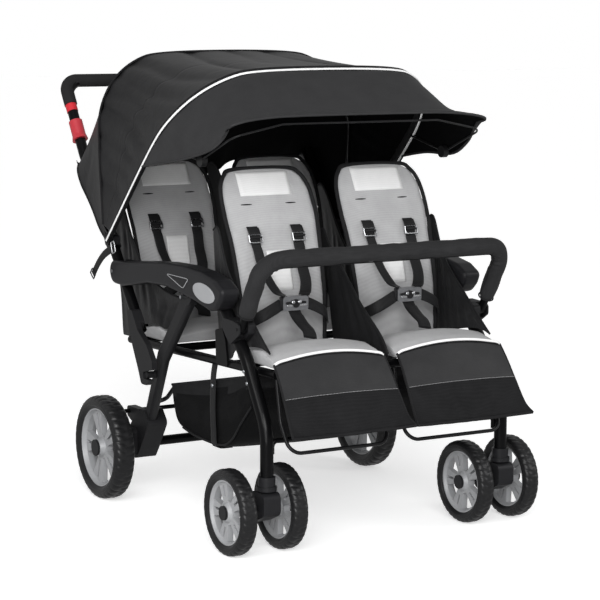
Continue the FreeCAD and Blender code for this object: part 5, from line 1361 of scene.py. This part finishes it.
for word, side in sides:
    # upright webbing on the wall, from the deck rail down and under the bag
    line = curveThrough([at(side * x, a, u) for x, a, u in basketSizes["strap"]], 50)
    strap = sweptPiece("basketStrap_" + word, line, tape(basketSizes["strapMm"], 1.6), "blackWebbing", "front_frame",
                       Vector((0, 1, 0)))
    basketTrim.append(strap)
    # the bound seam low on the wall, where the net meets the front gusset
    seamAcross = side * (basketSizes["half"] + basketSizes["seamOut"])
    seamLine = curveThrough([at(seamAcross, a, u) for a, u in basketSizes["seam"]], 70)
    basketTrim.append(trimOn("basketSeam_" + word, seamLine, 2.4, 0.7, "blackBinding", "front_frame"))
print("stage: basket")
# Tyres: solid foam with C-shaped lugs, notched along both edges

tyreSizes = {
    "rear": {"outer": 120.0, "rim": 92.0, "width": 48.0, "lugs": 40, "grooveMm": 2.6},
    "front": {"outer": 91.5, "rim": 69.5, "width": 36.0, "lugs": 34, "grooveMm": 2.0},
    "stepsPerLug": 8, "rearAcross": 355.5, "stemAcross": 295, "twinHalf": 60, "frontAhead": 610,
    # half of the section: across as a share of the half width, and height from the rim to the tread
    "section": ((-0.72, -0.06), (-0.74, 0.02), (-0.90, 0.10), (-1.0, 0.24), (-1.0, 0.42), (-0.985, 0.60), (-0.93, 0.76),
                (-0.84, 0.87), (-0.70, 0.94), (-0.50, 0.98), (-0.27, 1.0), (0.0, 1.0)),
    "treadFrom": 0.7, "beads": (0.30, 0.52), "beadMm": 0.55,
}


def grooveDepth(phase, across, high):
    # the grooves curve back towards the edges, one lug apart on either side, from a ring round the middle
    bend = (phase + 0.42 * across * across + (0.5 if across > 0 else 0.0)) % 1.0
    cut = math.exp(-((bend - 0.5) / 0.14) ** 2) if abs(across) > 0.18 else 0.0
    middle = math.exp(-(across / 0.10) ** 2) * 0.8
    return max(cut, middle) * min(1.0, (high - tyreSizes["treadFrom"]) / 0.15)


def makeTyre(name, kind, centre, body, node):
    sizes = tyreSizes[kind]
    half = list(tyreSizes["section"])
    section = half + [(-x, y) for x, y in reversed(half[:-1])]
    height = sizes["outer"] - sizes["rim"]
    points = []
    for k, (forward, upward) in enumerate(turns(sizes["lugs"] * tyreSizes["stepsPerLug"])):
        phase = (k % tyreSizes["stepsPerLug"]) / tyreSizes["stepsPerLug"]
        for x, y in section:
            radius = sizes["rim"] + height * y
            if y > tyreSizes["treadFrom"]:
                radius -= sizes["grooveMm"] * grooveDepth(phase, x, y)
            points.append(centre + Vector((x * sizes["width"] / 2, forward * radius, upward * radius)) / 1000)
    tyre = newPiece(name, points, gridFaces(len(points) // len(section), len(section), False, True),
                    "evaFoamTyre", body)
    tyre.data.set_sharp_from_angle(angle=math.radians(48))
    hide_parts(node)
    # fine moulded rings on the sidewall
    for k, share in enumerate(tyreSizes["beads"]):
        radius = sizes["rim"] + height * share
        for label, way in (("a", -1), ("b", 1)):
            loop = [centre + Vector((way * sizes["width"] / 2, c * radius, s * radius)) / 1000 for c, s in turns(96)]
            bead = sweptPiece("%sBead_%d_%s" % (name, k, label), loop, ring(tyreSizes["beadMm"], 6), "evaFoamTyre",
                              body, cyclic=True)


for sideName, side in sides:
    rearMiddle = at(side * tyreSizes["rearAcross"], 0, tyreSizes["rear"]["outer"])
    makeTyre("rearTyre_" + sideName, "rear", rearMiddle, "rear_wheel_" + sideName, "rear_tyre_" + sideName)
    for twin, word in ((side, "outer"), (-side, "inner")):
        frontMiddle = at(side * tyreSizes["stemAcross"] + twin * tyreSizes["twinHalf"], tyreSizes["frontAhead"],
                         tyreSizes["front"]["outer"])
        makeTyre("frontTyre_%s_%s" % (sideName, word), "front", frontMiddle,
                 "front_wheel_%s_%s" % (sideName, word), "front_tyre_%s_%s" % (sideName, word))
print("stage: tyres")
# Details: what sits on the outside of the frame pieces

detailSizes = {
    "badge": (448, 529), "badgeHalf": (49, 19.5), "badgeTilt": -7, "badgeMm": 1.6,
    "inset": ((272, 552), (378, 551), (352, 528)), "insetMm": 0.8,
    "legRivets": ((583, 379), (597, 356)), "rivetMm": 4.2, "basketRivet": (278.6, 388, 317), "basketRivetMm": 4.6,
    # each ring of a rivet's head: share of its radius, height
    "rivet": ((1.0, -0.6), (1.0, 0.5), (0.85, 1.5), (0.5, 2.2), (0.06, 2.5)),
    # each ring of a plate: share of its outline, share of its rise, fixed height
    "plate": ((1.0, 0, -0.3), (1.0, 0.7, 0), (0.94, 1.0, 0), (0.6, 1.2, 0), (0.05, 1.3, 0)),
    "bandFrom": (-268.0, 881), "bandTo": (-281.0, 901), "bandAcross": 305, "bandMm": 13.6,
    "strapAcross": 346, "strapMm": 19, "strapRoute": ((40, 588), (22, 580), (-7, 565), (-33, 543), (-56, 516)),
    "tieBuckle": ((-1, -0.7), (-0.8, -1), (0.8, -1), (1, -0.7), (1, 0.7), (0.8, 1), (-0.8, 1), (-1, 0.7)),
    "shell": (522, 455), "shellAcross": 295, "shellMm": 16.4, "shellHalf": 19, "shellTurn": 110,
    "legSpots": ((573, 403), (455, 524)), "start": 700, "armrestOut": 330, "legOut": 308,
}
strapFlat = Vector((0, 0.65, 0.76))


def onNode(tree, side, ahead, up, fallback):
    # a place on the outer side of a frame piece, met by a ray from the side
    hit = tree.ray_cast(at(side * detailSizes["start"], ahead, up), Vector((-side, 0, 0)))[0] if tree else None
    return hit if hit is not None else at(side * fallback, ahead, up)


def plateOn(name, tree, side, outline, middle, riseMm, finish, fallback=detailSizes["armrestOut"]):
    # a thin domed plate that follows the surface under it: rings of points from its edge to its middle
    loops = []
    for share, rise, fixed in detailSizes["plate"]:
        lift = Vector((side * (riseMm * rise + fixed) / 1000, 0, 0))
        loops += [onNode(tree, side, middle[0] + (ahead - middle[0]) * share, middle[1] + (up - middle[1]) * share,
                         fallback) + lift for ahead, up in outline]
    faces = gridFaces(len(detailSizes["plate"]), len(outline), True)
    faces.append(tuple(range(len(loops) - len(outline), len(loops))))
    newPiece(name, loops, faces, finish, "front_frame").data.set_sharp_from_angle(angle=math.radians(50))


def dome(name, place, side, radiusMm):
    # a rivet's domed head, facing outward
    steps = [(share * radiusMm, lift) for share, lift in detailSizes["rivet"]]
    head = ringStack(name, place, steps, 16, Vector((side, 0, 0)), Vector((0, 1, 0)), "zincSteel", "front_frame", True)
    head.data.set_sharp_from_angle(angle=math.radians(60))


def treeOf(node):
    return BVHTree.FromObject(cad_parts[node], bpy.context.evaluated_depsgraph_get())


def armrestDetails(sideName, side):
    tree = treeOf("armrest_" + sideName)
    tilt = math.radians(detailSizes["badgeTilt"])
    badge = []
    for c, s in turns(48):
        x, y = c * detailSizes["badgeHalf"][0], s * detailSizes["badgeHalf"][1]
        badge.append((detailSizes["badge"][0] + x * math.cos(tilt) - y * math.sin(tilt),
                      detailSizes["badge"][1] + x * math.sin(tilt) + y * math.cos(tilt)))
    plateOn("armrestBadge_" + sideName, tree, side, badge, detailSizes["badge"], detailSizes["badgeMm"], "badgeAbs")
    corners = [Vector((0, a, u)) for a, u in detailSizes["inset"]]
    outer = max(abs(onNode(tree, side, p.y, p.z, detailSizes["armrestOut"]).x) for p in corners) * 1000
    triangle = []
    for a, b in zip(corners, corners[1:] + corners[:1]):
        triangle += [a.lerp(b, 0.08 + 0.84 * k / 9) for k in range(10)]
    middle = sum(corners, Vector()) / 3
    plateOn("armrestInset_" + sideName, None, side, [(p.y, p.z) for p in triangle], (middle.y, middle.z),
            detailSizes["insetMm"], "darkNylonMoulding", outer)
    rim = [at(side * (outer + 0.5), p.y, p.z) for p in triangle]
    sweptPiece("armrestInsetRim_" + sideName, rim, ring(0.9, 8), "greyAbsRim", "front_frame", cyclic=True)


def tieStrap(sideName, side):
    # the hood's tie strap hangs from a ladder buckle at the front bow's foot
    route = curveThrough([at(side * (detailSizes["strapAcross"] + 2 * k), a, u)
                          for k, (a, u) in enumerate(detailSizes["strapRoute"])], 30)
    strap = sweptPiece("hoodTieStrap_" + sideName, route, tape(detailSizes["strapMm"], 1.6), "blackWebbing",
                       "front_bow", strapFlat)
    for label, share, wide, finish in (("top", 0.03, 25, "silverDieCast"), ("end", 0.97, 21, "darkNylonMoulding")):
        index = int(share * (len(route) - 1))
        along = (route[min(index + 1, len(route) - 1)] - route[max(index - 1, 0)]).normalized()
        flat = (strapFlat - along * strapFlat.dot(along)).normalized()
        loop = [route[index] + (flat * x * wide / 2 + along * y * 7.0 + Vector((side * 1.6, 0, 0))) / 1000
                for x, y in detailSizes["tieBuckle"]]
        sweptPiece("hoodTieBuckle_%s_%s" % (sideName, label), curveThrough(loop, 40, True), ring(1.5, 8), finish,
                   "front_bow", cyclic=True)


def clampShell(sideName, side):
    # a plated half shell round the leg, under the guard bar's clamp
    legEnds = [at(0, *spot) for spot in detailSizes["legSpots"]]
    legWay = (legEnds[0] - legEnds[1]).normalized()
    outWay = Vector((side, 0, 0))
    thirdWay = legWay.cross(outWay)
    middle = at(side * detailSizes["shellAcross"], *detailSizes["shell"])
    rows = []
    for r in range(9):
        row = []
        for c in range(17):
            turn = math.radians(detailSizes["shellTurn"] * (c / 8 - 1))
            out = (outWay * math.cos(turn) + thirdWay * math.sin(turn)) * detailSizes["shellMm"]
            row.append(middle + (legWay * (r / 4 - 1) * detailSizes["shellHalf"] + out) / 1000)
        rows.append(row)
    sheetPiece("clampShell_" + sideName, rows, "satinZincPlate", "front_frame", 1.4, levels=0)


legTree = treeOf("front_legs")
for sideName, side in sides:
    armrestDetails(sideName, side)
    for index, (ahead, up) in enumerate(detailSizes["legRivets"]):
        dome("legRivet_%s_%d" % (sideName, index), onNode(legTree, side, ahead, up, detailSizes["legOut"]), side,
             detailSizes["rivetMm"])
    across, ahead, up = detailSizes["basketRivet"]
    dome("basketRivet_" + sideName, at(side * across, ahead, up), side, detailSizes["basketRivetMm"])
    # a plain red band on the handle tube, between the grip and the slider
    ends = [at(side * detailSizes["bandAcross"], *detailSizes[key]) for key in ("bandFrom", "bandTo")]
    sweptPiece("handleBand_" + sideName, [ends[0].lerp(ends[1], k / 6) for k in range(7)],
               ring(detailSizes["bandMm"], 28), "redPrintedTape", "handle_frame")
    tieStrap(sideName, side)
    clampShell(sideName, side)
print("stage: details")
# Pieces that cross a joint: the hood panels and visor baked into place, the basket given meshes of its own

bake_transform(hood["hoodRearPanel"])
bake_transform(hood["hoodFrontPanel"])
for piece in (visor, brim, hem):
    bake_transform(piece)
for piece in [basket] + basketTrim:
    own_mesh(piece)

scene.view_settings.view_transform = "Standard"
